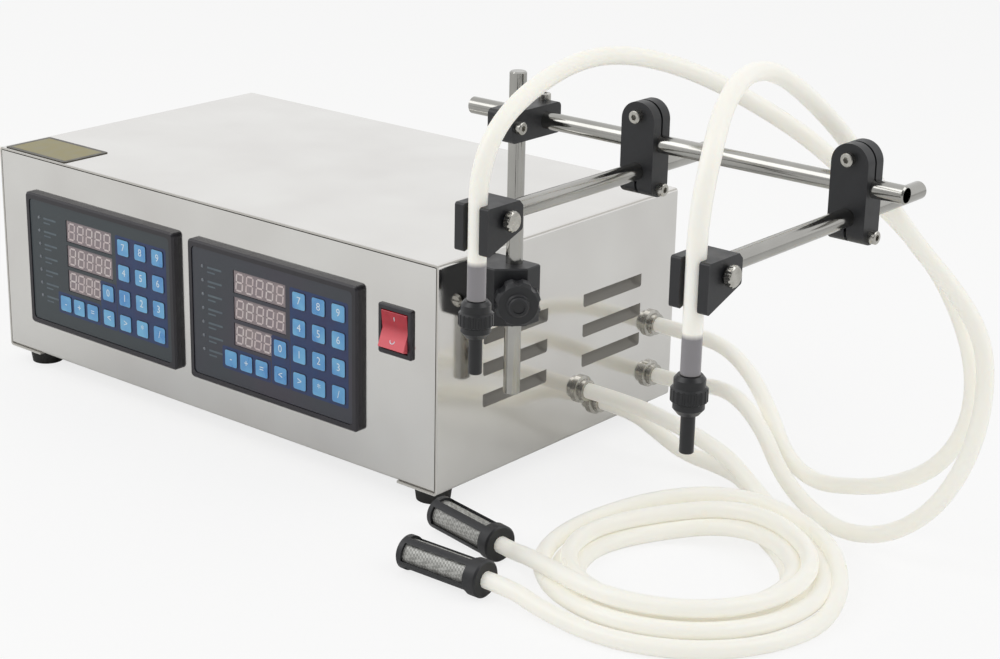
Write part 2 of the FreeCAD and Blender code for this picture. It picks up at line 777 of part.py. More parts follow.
def make_switch():
    """Rocker switch: frame through the panel and the rocker on its cross pin."""
    spot = (S.switch_x, -HALF_DEPTH, S.foot_height + S.switch_mid_z)
    frame = new_body("switch_frame")
    width, height, rim = S.switch_width, S.switch_height, S.switch_rim
    bezel = pad(frame, "bezel", outline(frame, "bezel", "XZ", rectangle(0, 0, width, height, 1.5)),
                S.switch_proud)
    dress("Chamfer", frame, "bezel_edge", bezel, 0.8,
          lambda edge: lies_at(edge, "y", -S.switch_proud.value))
    casing = rectangle(0, 0, width - rim - S.seam, height - rim - S.seam)
    pad(frame, "casing", outline(frame, "casing", "XZ", casing), S.switch_depth, reverse=True)
    inside = rectangle(0, 0, width - 2 * rim, height - 2 * rim)
    well = outline(frame, "well", "XZ", inside, lift=S.switch_proud)
    pocket(frame, "well", well, S.switch_proud + S.switch_depth - 2)
    pivot = (S.switch_proud, 0)
    pin_section = circles(frame, "pin", "YZ", [(*pivot, 1.0)])
    pad(frame, "pin", pin_section, width - rim - S.seam, symmetric=True)
    node(place(frame, *spot), "switch_frame")
    rocker = new_body("switch_rocker")
    half = height / 2 - rim - S.rocker_play
    front, fold, root = S.switch_proud + 4.2, S.switch_proud + 1.4, 7.0
    side = [(root, half * -0.62), (root, half * 0.62), (0, half), (-front, half - 0.9, 0.8),
            (-fold, 0), (-front, 0.9 - half, 0.8), (0, -half)]
    pad(rocker, "rocker", outline(rocker, "rocker", "YZ", side),
        width - 2 * (rim + S.rocker_play), symmetric=True)
    bore = circles(rocker, "pin_bore", "YZ", [(0, 0, 1.0 + S.rod_fit)], lift=width / 2)
    pocket(rocker, "pin_bore", bore, width)
    tilt = FreeCAD.Rotation(V(1, 0, 0), -S.rocker_tilt.value)
    place(rocker, spot[0], spot[1] + pivot[0], spot[2], tilt)
    node(rocker, "switch_rocker")


def make_rear_fittings():
    """Mains inlet and fuse holder in the rear panel."""
    level = S.foot_height + S.inlet_z
    inlet = new_body("power_inlet")
    width, height, depth = S.inlet_width, S.inlet_height, S.inlet_depth
    flange = outline(inlet, "flange", "XZ", rectangle(0, 0, width, height, 4))
    pad(inlet, "flange", flange, S.inlet_flange)
    rim = S.inlet_rim
    casing = rectangle(0, 0, width - 2 * rim - S.seam, height - 2 * rim - S.seam, 2)
    pad(inlet, "casing", outline(inlet, "casing", "XZ", casing), depth, reverse=True)
    wide, tall = S.socket_width / 2, S.socket_height / 2
    mouth = [(wide, -tall, 1), (wide, tall * 0.3), (wide * 0.7, tall), (wide * -0.7, tall),
             (-wide, tall * 0.3), (-wide, -tall, 1)]
    socket = outline(inlet, "socket", "XZ", mouth, lift=S.inlet_flange)
    pocket(inlet, "socket", socket, depth)
    row = -1.5
    spots = [(-S.blade_spacing, row), (0, S.blade_rise + row), (S.blade_spacing, row)]
    for number, (u, v) in enumerate(spots, 1):
        blade = outline(inlet, f"blade_{number}", "XZ",
                        rectangle(u, v, S.blade_width, S.blade_height), lift=-depth)
        pad(inlet, f"blade_{number}", blade, depth - 1)
    node(place(inlet, S.inlet_x, HALF_DEPTH, level, FACING_BACK), "power_inlet")
    fuse = new_body("fuse_holder")
    thread = S.fuse_radius - 1.6
    lathe(fuse, "holder", [(0, -S.fuse_depth), (thread - 1.5, -S.fuse_depth), (thread, 0),
                           (S.fuse_radius, 0), (S.fuse_radius, S.fuse_cap - 1.5),
                           (S.fuse_radius - 1.5, S.fuse_cap), (0, S.fuse_cap)])
    slot = outline(fuse, "coin_slot", "XY", rectangle(0, 0, S.fuse_radius, 1.6), lift=S.fuse_cap)
    pocket(fuse, "coin_slot", slot, 1.5)
    node(place(fuse, S.inlet_x - S.fuse_spacing, HALF_DEPTH, level, ALONG_Y), "fuse_holder")


def make_power_supply():
    """Switched supply on the floor: a vented can with a screw terminal strip at its front."""
    body = new_body("power_supply")
    wide, long, tall, low = S.supply_width, S.supply_length, S.supply_height, S.terminal_level
    pad(body, "can", outline(body, "can", "XY", rectangle(0, 0, wide, long, 1.5)), tall)
    front = -long / 2
    strip = span(-wide / 2 - 1, wide / 2 + 1, front - 1, front + S.terminal_strip)
    pocket(body, "step", outline(body, "step", "XY", strip, lift=low), tall, reverse=True)
    middle = front + S.terminal_strip / 2
    for number in range(6):
        head = circles(body, f"terminal_{number}", "XY",
                       [(S.terminal_pitch * (number - 2.5), middle, 3)], lift=low)
        pad(body, f"terminal_{number}", head, 2)
    for number in range(7):
        vent = rectangle(0, S.vent_pitch * (number - 2.5), wide * 0.6, 4, 1.9)
        pocket(body, f"vent_{number}", outline(body, f"vent_{number}", "XY", vent, lift=tall), 3)
    place(body, S.supply_x, S.supply_y, S.foot_height + 2 * S.sheet_metal)
    return node(body, "power_supply")


def tooth_outline():
    """One stub tooth about the X axis: involute flanks, from below the root to the tip."""
    pitch, pressure = GEAR_TEETH / 2, math.radians(20)
    base = pitch * math.cos(pressure)
    root, tip = pitch - 1.05, pitch + 0.8
    half_tooth = math.pi / (2 * GEAR_TEETH) - 0.045
    start = half_tooth + math.tan(pressure) - pressure
    flank = [(root - 0.4, start), (root, start)]
    for step in range(4):
        radius = base + (tip - base) * step / 3
        roll = math.acos(base / radius)
        flank.append((radius, start - (math.tan(roll) - roll)))
    points = [(radius, -angle) for radius, angle in flank]
    points += [(radius, angle) for radius, angle in reversed(flank)]
    return [(S.gear_module * (radius * math.cos(angle)), S.gear_module * (radius * math.sin(angle)))
            for radius, angle in points]


def make_gear(name, shaft_back):
    """Pump gear with its shaft; the gear fills the chamber between z = 0 and its width."""
    body = new_body(name)
    root = S.gear_module * (GEAR_TEETH / 2 - 1.05)
    low, high = S.gear_play, S.gear_width - S.gear_play
    shaft, front = S.shaft_radius, S.gear_width + S.pump_wall - 1
    lathe(body, "shaft", [(0, -shaft_back), (shaft, -shaft_back), (shaft, low), (root, low),
                          (root, high), (shaft, high), (shaft, front), (0, front)])
    tooth = pad(body, "tooth", outline(body, "tooth", "XY", tooth_outline(), lift=low), high - low)
    ring_of(body, "teeth", [tooth], GEAR_TEETH)
    return body


def pump_profile(grow=0):
    """Rounded outline of the pump about its two stacked gear chambers."""
    reach = S.gear_module * (GEAR_TEETH / 2 + 0.8) + S.pump_rim + grow
    return rectangle(0, 0, GEAR_CENTRES + 2 * reach, S.port_spacing + 18, 8)


def make_pump(side, level):
    """Gear pump in line with its motor, shaft along X, drive gear above the idler."""
    spot = (S.pump_face_x, S.pump_y, level)
    chamber = S.gear_module * (GEAR_TEETH / 2 + 0.8) + S.gear_play
    bore = S.shaft_radius + S.shaft_play
    upper, lower = GEAR_CENTRES / -2, GEAR_CENTRES / 2
    # the body is modelled with its shaft along Z and machine up along -X
    housing = new_body(f"{side}_pump_body")
    block = outline(housing, "block", "XY", pump_profile(), lift=-S.pump_wall)
    pad(housing, "block", block, S.pump_wall + S.gear_width)
    cavity = [(upper, 0, chamber), (lower, 0, chamber)]
    for number, circle in enumerate(cavity, 1):
        sketch = circles(housing, f"chamber_{number}", "XY", [circle], lift=S.gear_width)
        pocket(housing, f"chamber_{number}", sketch, S.gear_width)
    ports = rectangle(0, 0, 8, S.port_spacing + 6, 3)
    sketch = outline(housing, "passage", "XY", ports, lift=S.gear_width)
    pocket(housing, "passage", sketch, S.gear_width - 2)
    drill = circles(housing, "shaft_holes", "XY", [(upper, 0, bore), (lower, 0, bore)],
                    lift=-S.pump_wall)
    pocket(housing, "shaft_holes", drill, S.pump_wall + 1, reverse=True)
    node(place(housing, *spot, ALONG_X), f"{side}_pump_body")
    cover = new_body(f"{side}_pump_cover")
    sketch = outline(cover, "plate", "XY", pump_profile(), lift=S.gear_width)
    pad(cover, "plate", sketch, S.pump_wall)
    face = S.gear_width + S.pump_wall
    for number, v in enumerate((S.port_spacing / -2, S.port_spacing / 2), 1):
        stub = circles(cover, f"port_{number}", "XY", [(0, v, S.hose_bore - 0.1)], lift=face)
        pad(cover, f"port_{number}", stub, S.barb_length)
        way = circles(cover, f"port_bore_{number}", "XY", [(0, v, 2.5)], lift=face + S.barb_length)
        pocket(cover, f"port_bore_{number}", way, S.barb_length + S.pump_wall + 1)
    for number, u in enumerate((upper, lower), 1):
        hole = circles(cover, f"bearing_{number}", "XY", [(u, 0, bore)], lift=S.gear_width)
        pocket(cover, f"bearing_{number}", hole, S.pump_wall - 0.8, reverse=True)
    node(place(cover, *spot, ALONG_X), f"{side}_pump_cover")
    shaft_back = S.pump_wall + S.bracket_thickness + 20
    drive = make_gear(f"{side}_drive_gear", shaft_back)
    node(place(drive, spot[0], spot[1], level + GEAR_CENTRES / 2, ALONG_X), f"{side}_drive_gear")
    idler = make_gear(f"{side}_idler_gear", S.pump_wall - 1)
    half_pitch = FreeCAD.Rotation(V(0, 0, 1), 180.0 / GEAR_TEETH)
    place(idler, spot[0], spot[1], level - GEAR_CENTRES / 2, ALONG_X.multiply(half_pitch))
    node(idler, f"{side}_idler_gear")


def make_motor(name):
    """Geared motor, mounting face at zero, body towards -Z, with a bore for the pump shaft."""
    body = new_body(name)
    radius, long, bore = S.motor_radius, S.motor_length, S.shaft_radius + S.shaft_play
    lathe(body, "can", [(0, -long), (radius - 6, -long), (radius - 6, 4 - long), (radius - 1, 4 - long),
                        (radius, 6 - long), (radius, -1), (radius - 1, 0), (bore, 0), (bore, -22),
                        (0, -22)])
    return body


def make_drive():
    """Both pumps, their motors and the upright bracket that carries them."""
    levels = {"upper": S.upper_pump_z, "lower": S.lower_pump_z}
    for side, level in levels.items():
        make_pump(side, level)
    back = S.pump_face_x - S.pump_wall - S.bracket_thickness
    group("pump_motors", make_motor,
          [(back, S.pump_y, level + GEAR_CENTRES / 2, ALONG_X) for level in levels.values()])
    bracket = new_body("pump_bracket")
    floor = S.foot_height + 2 * S.sheet_metal
    thick, half = S.bracket_thickness, S.bracket_width / 2
    top = CASE_TOP - S.sheet_metal - 4
    section = [(0, floor), (thick, floor), (thick, top), (0, top)]
    foot = [(-40, floor), (0, floor), (0, floor + thick), (-40, floor + thick)]
    pad(bracket, "plate", outline(bracket, "plate", "XZ", section), 2 * half, symmetric=True)
    pad(bracket, "foot", outline(bracket, "foot", "XZ", foot), 2 * half, symmetric=True)
    holes = [(0, level + GEAR_CENTRES / 2, S.shaft_radius + 2) for level in levels.values()]
    drill = circles(bracket, "shaft_holes", "YZ", holes, lift=-1)
    pocket(bracket, "shaft_holes", drill, thick + 2, reverse=True)
    node(place(bracket, back, S.pump_y, 0), "pump_bracket")


def make_rod(label, length, bore=0):
    """Round bar or tube from zero along Z, with chamfered ends."""
    body = new_body(label)
    radius, edge = S.rod_radius, S.rod_chamfer
    lathe(body, "rod", [(bore, 0), (radius - edge, 0), (radius, edge), (radius, length - edge),
                        (radius - edge, length), (bore, length)])
    return body


def make_clamp_block():
    """Block on the side panel that holds the post, its front corner cut for the star knob."""
    body = new_body("clamp_block")
    reach, front, back, cut = S.block_reach, S.block_front, S.block_back, S.block_cut
    plan = [(-S.post_offset, -front), (reach - cut, -front), (reach, cut - front),
            (reach, back, 2), (-S.post_offset, back)]
    block = pad(body, "block", outline(body, "block", "XY", plan), S.block_height)
    dress("Chamfer", body, "edges", block, 0.8,
          lambda edge: lies_at(edge, "z", S.block_height.value) or lies_at(edge, "z", 0))
    bore = circles(body, "post_bore", "XY", [(0, 0, S.rod_radius + S.rod_fit)])
    pocket(body, "post_bore", bore, S.block_height + 1, reverse=True)
    turn = FreeCAD.Rotation(V(0, 1, 0), 45)
    away = knob_face_distance() + 1
    knob_hole = circles(body, "knob_hole", "XZ",
                        [(0, S.block_height / 2, S.knob_screw_radius + S.rod_fit)],
                        shift=(away * ROOT_HALF, 0), lift=away * ROOT_HALF, turn=turn)
    pocket(body, "knob_hole", knob_hole, away)
    bolt = S.screw_radius + S.screw_play
    spots = [(y - S.post_y, S.block_height / 2, bolt) for y in block_bolt_ys()]
    bolts = circles(body, "wall_bolts", "YZ", spots, lift=-S.post_offset - 1)
    pocket(body, "wall_bolts", bolts, S.block_bolt_depth, reverse=True)
    screw_level = S.block_height / 2 - S.block_screw_drop
    side_hole = circles(body, "front_hole", "XZ", [(-S.block_screw_offset, screw_level, bolt)],
                        lift=front)
    pocket(body, "front_hole", side_hole, S.block_screw_depth)
    place(body, POST_X, S.post_y, S.block_bottom)
    return node(body, "clamp_block")


def knob_face_distance():
    """Distance from the post axis to the cut corner of the clamp block."""
    return (S.block_reach + S.block_front - S.block_cut) * ROOT_HALF


def make_block_screws():
    level = S.block_bottom + S.block_height / 2
    inside = HALF_WIDTH - S.sheet_metal
    spots = [(inside, y, level, ALONG_X) for y in block_bolt_ys()]
    spots.append((POST_X - S.block_screw_offset, S.post_y - S.block_front,
                  level - S.block_screw_drop, ALONG_Y))
    group("clamp_block_screws", lambda name: make_pan_screw(name, S.block_screw_depth - 1), spots)


def make_star_knob():
    """Scalloped clamping knob with its screw, which bears on the post."""
    body = new_body("star_knob")
    radius, gap, tall, shank = S.knob_radius, S.knob_gap, S.knob_height, S.knob_screw_radius
    tip = S.rod_radius + S.screw_clearance - knob_face_distance()
    boss, face = S.knob_boss_radius, gap + tall + S.knob_boss
    lathe(body, "hub", [(0, tip), (shank - 0.6, tip), (shank, tip + 0.6), (shank, 0.6), (7, 0.6),
                        (8, gap), (radius - 1.5, gap), (radius, gap + 1.5),
                        (radius, gap + tall - 2), (radius - 2, gap + tall), (boss + 1, gap + tall),
                        (boss, gap + tall + 1), (boss, face - 0.8), (boss - 0.8, face),
                        (shank + 0.6, face), (shank + 0.6, face - 0.8), (0, face - 0.8)])
    scallop = circles(body, "scallop", "XY", [(radius + 1.6, 0, 3.4)], lift=gap - 0.5)
    cut = pocket(body, "scallop", scallop, tall + 1, reverse=True)
    ring_of(body, "scallops", [cut], 8)
    reach = knob_face_distance() * ROOT_HALF
    level = S.block_bottom + S.block_height / 2
    place(body, POST_X + reach, S.post_y - reach, level, FreeCAD.Rotation(V(0, 0, 1), V(1, -1, 0)))
    return node(body, "star_knob")


def make_rods():
    post = make_rod("post", S.post_length)
    node(place(post, POST_X, S.post_y, S.post_bottom), "post")
    rail = make_rod("cross_rail", S.rail_length, S.rod_bore)
    node(place(rail, S.rail_left, RAIL_Y, S.rail_height, ALONG_X), "cross_rail")
    front = HOLDER_BACK - S.holder_socket + S.rod_fit * 6
    for side, x in NOZZLE_XS.items():
        arm = make_rod(f"{side}_arm", S.arm_rear - front)
        node(place(arm, x, S.arm_rear, ARM_HEIGHT, ALONG_MINUS_Y), f"{side}_arm")


def make_cross_clamp():
    """One-piece clamp that carries the rail on the post, slit at both ends."""
    body = new_body("cross_clamp")
    front, back = S.clamp_front, S.rail_spacing + S.clamp_back
    half = S.clamp_width / 2
    side = [(-front, -half, 3), (back, -half, 3), (back, half, 3), (-front, half, 3)]
    pad(body, "block", outline(body, "block", "YZ", side), S.clamp_width, symmetric=True)
    bore = S.rod_radius + TIGHT
    post = circles(body, "post_bore", "XY", [(0, 0, bore)])
    pocket(body, "post_bore", post, S.clamp_width + 2, symmetric=True)
    rail = circles(body, "rail_bore", "YZ", [(S.rail_spacing, 0, bore)])
    pocket(body, "rail_bore", rail, S.clamp_width + 2, symmetric=True)
    slit = S.clamp_slit / 2
    front_slit = outline(body, "front_slit", "XY", span(-slit, slit, -front - 1, 0))
    pocket(body, "front_slit", front_slit, S.clamp_width + 2, symmetric=True)
    back_slit = outline(body, "back_slit", "YZ", span(S.rail_spacing, back + 1, -slit, slit))
    pocket(body, "back_slit", back_slit, S.clamp_width + 2, symmetric=True)
    across = circles(body, "front_bolt", "YZ", [(clamp_bolt_front(), 0, S.cap_screw_radius)])
    pocket(body, "front_bolt", across, S.clamp_width + 2, symmetric=True)
    down = circles(body, "back_bolt", "XY", [(0, clamp_bolt_back(), S.cap_screw_radius)])
    pocket(body, "back_bolt", down, S.clamp_width + 2, symmetric=True)
    place(body, POST_X, S.post_y, S.rail_height)
    return node(body, "cross_clamp")


def clamp_bolt_front():
    return -(S.rod_radius + S.clamp_front) / 2


def clamp_bolt_back():
    return S.rail_spacing + (S.rod_radius + S.clamp_back) / 2


def make_arm_clamp(side, x):
    """Upright one-piece clamp: the rail above, the arm below, a slit and a screw for each."""
    body = new_body(f"{side}_arm_clamp")
    half, above, below = S.arm_clamp_depth / 2, S.arm_clamp_above, S.arm_clamp_below
    width = S.arm_clamp_width
    foot = half - 0.5
    side_view = [(-half, -below, foot), (half, -below, foot), (half, above), (-half, above)]
    block = pad(body, "block", outline(body, "block", "YZ", side_view), width, symmetric=True)
    dress("Fillet", body, "arch", block, width / 2 - 0.5,
          lambda edge: lies_at(edge, "z", above.value)
          and (lies_at(edge, "x", width.value / 2) or lies_at(edge, "x", -width.value / 2)))
    bore = S.rod_radius + TIGHT
    through = width + 2
    rail = circles(body, "rail_bore", "YZ", [(0, 0, bore)])
    pocket(body, "rail_bore", rail, through, symmetric=True)
    arm = circles(body, "arm_bore", "XZ", [(0, -S.arm_drop, bore)])
    pocket(body, "arm_bore", arm, through, symmetric=True)
    slit = S.clamp_slit / 2
    upper = outline(body, "upper_slit", "YZ", span(-slit, slit, 0, above + 1))
    pocket(body, "upper_slit", upper, through, symmetric=True)
    lower = outline(body, "lower_slit", "XZ", span(-slit, slit, -below - 1, -S.arm_drop))
    pocket(body, "lower_slit", lower, through, symmetric=True)
    bolt = circles(body, "upper_bolt", "XZ", [(0, arm_bolt_above(), S.cap_screw_radius)])
    pocket(body, "upper_bolt", bolt, through, symmetric=True)
    bolt = circles(body, "lower_bolt", "YZ", [(0, arm_bolt_below(), S.cap_screw_radius)])
    pocket(body, "lower_bolt", bolt, through, symmetric=True)
    place(body, x, RAIL_Y, S.rail_height)
    return node(body, f"{side}_arm_clamp")


def arm_bolt_above():
    return (S.rod_radius + S.arm_clamp_above) / 2 + 1


def arm_bolt_below():
    return -(S.arm_drop + S.rod_radius + S.arm_clamp_below) / 2


def make_clamp_screws():
    half = S.clamp_width / 2
    spots = [
        (POST_X + half, S.post_y + clamp_bolt_front(), S.rail_height, ALONG_X),
        (POST_X, S.post_y + clamp_bolt_back(), S.rail_height + half, None),
    ]
    for x in NOZZLE_XS.values():
        spots.append((x, RAIL_Y - S.arm_clamp_depth / 2, S.rail_height + arm_bolt_above(),
                      ALONG_MINUS_Y))
        spots.append((x + S.arm_clamp_width / 2, RAIL_Y, S.rail_height + arm_bolt_below(), ALONG_X))
    length = S.arm_clamp_depth - 1
    group("clamp_screws", lambda name: make_cap_screw(name, length), spots)


def make_holder(side, x):
    """Wedge block on the arm's front end with an open slot that grips the hose."""
    body = new_body(f"{side}_nozzle_holder")
    deep, above, below = S.holder_depth, S.holder_above, S.holder_below
    wedge = [(-deep, -below, 1.5), (0, -S.holder_back_below, 1.5), (0, above - 3), (-3, above),
             (-deep, above, 1.5)]
    pad(body, "wedge", outline(body, "wedge", "YZ", wedge), S.holder_width, symmetric=True)
    grip = S.hose_radius + S.slot_play
    throat = grip * 0.98
    slot = [(grip, -deep - 1), (grip, grip - S.holder_nozzle_y, throat),
            (-grip, grip - S.holder_nozzle_y, throat), (-grip, -deep - 1)]
    pocket(body, "slot", outline(body, "slot", "XY", slot), 2 * deep, symmetric=True)
    socket = circles(body, "arm_socket", "XZ", [(0, 0, S.rod_radius + TIGHT)])
    pocket(body, "arm_socket", socket, S.holder_socket, reverse=True)
    bolt = circles(body, "thumb_hole", "YZ", [(-S.thumb_back, 0, S.screw_radius + S.rod_fit)],
                   lift=S.holder_width / 2)
    pocket(body, "thumb_hole", bolt, S.holder_width / 2)
    place(body, x, HOLDER_BACK, ARM_HEIGHT)
    return node(body, f"{side}_nozzle_holder")


def make_thumb_screw(side, x):
    """Thumb screw in the holder's right face; its tip bears on the arm."""
    body = new_body(f"{side}_thumb_screw")
    radius, tall, shank = S.thumb_radius, S.thumb_length, S.screw_radius
    tip = S.rod_radius + S.screw_clearance - S.holder_width / 2
    lathe(body, "head", [(0, tip), (shank, tip), (shank, 0.4), (radius - 1.5, 0.4), (radius, 1.8),
                         (radius, tall - 0.8), (radius - 0.8, tall), (0, tall)])
    flute = circles(body, "flute", "XY", [(radius + 0.5, 0, 1.1)], lift=0)
    cut = pocket(body, "flute", flute, tall + 1, reverse=True)
    ring_of(body, "flutes", [cut], 12)
    place(body, x + S.holder_width / 2, HOLDER_BACK - S.thumb_back, ARM_HEIGHT, ALONG_X)
    return node(body, f"{side}_thumb_screw")


def make_nozzle(side, x):
    """Hanging nozzle: bored tube with a shoulder and a hose barb, in its fluted barrel."""
    height = TIP_HEIGHTS[side]
    low, high = S.tip_length, S.tip_length + S.collar_length
    tube = new_body(f"{side}_nozzle_tube")
    barb, peak = S.hose_bore - 0.6, S.hose_bore - 0.1
    corners = [(S.tip_bore, 0), (S.tip_radius - 0.4, 0), (S.tip_radius, 0.4), (S.tip_radius, low),
               (S.tip_shoulder, low), (S.tip_shoulder, high), (barb, high)]
    for ridge in range(3):
        level = high + 2 + ridge * S.barb_length / 3.6
        corners += [(barb, level), (peak, level), (barb, level + S.barb_length / 4)]
    corners += [(barb, high + S.barb_length), (S.tip_bore, high + S.barb_length)]
    lathe(tube, "tube", corners)
    node(place(tube, x, S.nozzle_y, height), f"{side}_nozzle_tube")
    barrel = new_body(f"{side}_nozzle_barrel")
    wide, bore = S.collar_radius, S.tip_shoulder + TIGHT
    lathe(barrel, "barrel", [(bore, low), (5.4, low), (wide - 1.4, low + 3), (wide - 1.4, low + 6),
                             (wide, low + 7), (wide, high - 7), (wide - 1.4, high - 6),
                             (wide - 1.4, high - 2), (wide - 3, high), (bore, high)])
    flute = circles(barrel, "flute", "XY", [(wide + 0.4, 0, 0.9)], lift=low + 6.5)
    cut = pocket(barrel, "flute", flute, high - low - 13, reverse=True)
    ring_of(barrel, "flutes", [cut], 20)
    node(place(barrel, x, S.nozzle_y, height), f"{side}_nozzle_barrel")


def make_fitting(name):
    """Bulkhead fitting, outer face of the panel at zero, barbs both ways."""
    body = new_body(name)
    thread, reach, bore = S.fitting_thread, S.fitting_reach, S.fitting_bore
    barb, peak, long = S.hose_bore - 0.6, S.hose_bore - 0.1, S.barb_length
    inner = S.sheet_metal + S.fitting_nut + 3
    lathe(body, "fitting", [
        (bore, -inner - long), (barb, -inner - long), (peak, -inner - long / 2), (barb, -inner - long / 2),
        (barb, -inner), (thread, -inner), (thread, 0), (S.fitting_flange, 0), (S.fitting_flange, 2),
        (7, 2.6), (7, reach), (barb, reach), (barb, reach + 2), (peak, reach + 2), (barb, reach + 7),
        (peak, reach + 7), (barb, reach + 12), (peak, reach + 12), (barb, reach + long - 1),
        (bore, reach + long - 1)])
    return body


def make_fitting_nut(name):
    """Hexagon nut on the inner face of the panel."""
    body = new_body(name)
    corner = S.fitting_thread * 1.85
    corners = [(corner * math.cos(math.radians(60 * k)), corner * math.sin(math.radians(60 * k)))
               for k in range(6)]
    base = outline(body, "nut", "XY", corners, lift=-S.sheet_metal - S.fitting_nut)
    pad(body, "nut", base, S.fitting_nut)
    hole = circles(body, "thread", "XY", [(0, 0, S.fitting_thread + TIGHT)])
    pocket(body, "thread", hole, S.sheet_metal + S.fitting_nut + 1)
    return body


def route_wire(points):
    """Straight runs joined by tangent arcs, and the arcs' radii."""
    edges = []
    radii = []
    at = points[0]
    for before, point, after in zip(points, points[1:], points[2:]):
        way_in, way_out = point - before, after - point
        reach = 0.45 * min(way_in.Length, way_out.Length)
        radius = reach / math.tan(way_in.getAngle(way_out) / 2)
        way_in.normalize()
        way_out.normalize()
        inward = (way_out - way_in).normalize()
        start, end = point - way_in * reach, point + way_out * reach
        middle = point + inward * (math.hypot(radius, reach) - radius)
        edges.append(Part.LineSegment(at, start).toShape())
        edges.append(Part.Arc(start, middle, end).toShape())
        radii.append(radius)
        at = end
    edges.append(Part.LineSegment(at, points[-1]).toShape())
    return Part.Wire(edges), radii


def hose_shape(label, points, sockets):
    """Round bar along a route, with a socket for the barb at the ends named."""
    points = [V(*point) for point in points]
    wire, radii = route_wire(points)
    first = (points[1] - points[0]).normalize()
    ring = Part.Wire(Part.Circle(points[0], first, S.hose_radius.value).toShape())
    solid = wire.makePipeShell([ring], True, False)
    expected = math.pi * S.hose_radius.value ** 2 * wire.Length
    print(f"{label}: length {wire.Length:.0f}, radii {min(radii):.0f} to {max(radii):.0f},",
          f"volume ratio {solid.Volume / expected:.4f}")
    assert abs(solid.Volume / expected - 1) < 0.01
    depth = S.barb_length.value + 1
    ends = {"start": (points[0], points[1]), "end": (points[-1], points[-2])}
    for end in sockets:
        mouth, following = ends[end]
        way = (following - mouth).normalize()
        solid = solid.cut(Part.makeCylinder(S.hose_bore.value, depth, mouth, way))
    return solid


def make_hose(label, points, sockets=("start", "end")):
    """One hose as a fixed solid at its chosen route."""
    item = doc.addObject("Part::Feature", label)
    item.Shape = hose_shape(label, points, sockets)
    node(item, label)
    return place(item, 0, 0, 0)


def hose_end(x, y, z):
    return (as_size(x).value, as_size(y).value, as_size(z).value)


def make_delivery_hoses():
    """From each nozzle up through its holder, over the rail and down to an outlet."""
    panel = (HALF_WIDTH + S.fitting_reach).value
    top = (S.tip_length + S.collar_length + S.hose_gap).value
    left, right = (NOZZLE_XS[side].value for side in ("left", "right"))
    front = S.nozzle_y.value
    outlet = S.outlet_y.value
    upper, lower = S.upper_outlet_z.value, S.lower_outlet_z.value
    make_hose("left_delivery_hose", [
        (left, front, S.left_tip_height.value + top), (left + 0.15, front, 209),
        (left, front, 242), (298, -186, 266), (296, -152, 281),
        (296, -112, 289), (303, -76, 286), (322, -46, 275), (347, -22, 257), (372, -4, 238),
        (393, 13, 214), (408, 36, 190), (428, 50, 162), (448, 48, 133), (461, 40, 107),
        (463, 31, 80), (448, 26, 54), (420, 28, 36), (390, 36, 24), (357, 48, 14), (330, 59, 20),
        (313, 67, 41), (291, 76, 60), (262, 88, 68.5), (panel + 27, outlet, upper),
        (panel, outlet, upper)])
    make_hose("right_delivery_hose", [
        (right, front, S.right_tip_height.value + top), (right + 0.15, front, 206),
        (right, front, 244), (430, -189, 274), (420, -165, 293), (407, -128, 300),
        (398, -88, 294), (398, -54, 275), (404, -22, 248), (413, 6, 212), (428, 22, 183),
        (449, 34, 157), (467, 36, 132), (476, 24, 100), (475, 11, 70), (461, 5, 40), (435, 5, 17),
        (403, 9, 7), (370, 22, 9), (340, 38, 18), (318, 51, 36), (292, 64, 46), (264, 80, 43),
        (panel + 30, outlet, lower), (panel, outlet, lower)])


def make_suction_hoses():
    """From the inlets to the coil on the floor, and from the coil to the strainers."""
    panel = (HALF_WIDTH + S.fitting_reach).value
    front = hose_end(panel, S.inlet_front_y, S.inlet_front_z)
    rear = hose_end(panel, S.inlet_rear_y, S.inlet_rear_z)
    make_hose("upper_suction_hose", [
        front, (front[0] + 30, front[1], front[2]), (268, 14, 42), (298, 6, 40), (326, 2, 33),
        (352, -3, 25), (378, -15, 18)], sockets=("start",))
    make_hose("lower_suction_hose", [
        rear, (rear[0] + 24, rear[1], rear[2]), (252, 35, 21), (269, 39, 11), (291, 44, 7.5),
        (313, 38, 7), (333, 21, 6.5), (354, 3, 7), (378, -13, 7)], sockets=("start",))
    coil = new_body("hose_coil")
    lathe(coil, "coil", [(S.coil_inner, 0, 6), (S.coil_outer, 0, 6), (S.coil_outer, S.coil_height, 6),
                         (S.coil_inner, S.coil_height, 6)])
    node(place(coil, S.coil_x, S.coil_y, 0), "hose_coil")


STRAINERS = {
    "front": {"tail": (236.3, -183.5), "heading": 0.0, "lead": 20, "route": [(341, -182, 9)]},
    "rear": {"tail": (214.3, -130.6), "heading": -12.4, "lead": 13,
             "route": [(298, -151.5, 10), (312, -161, 8)]},
}


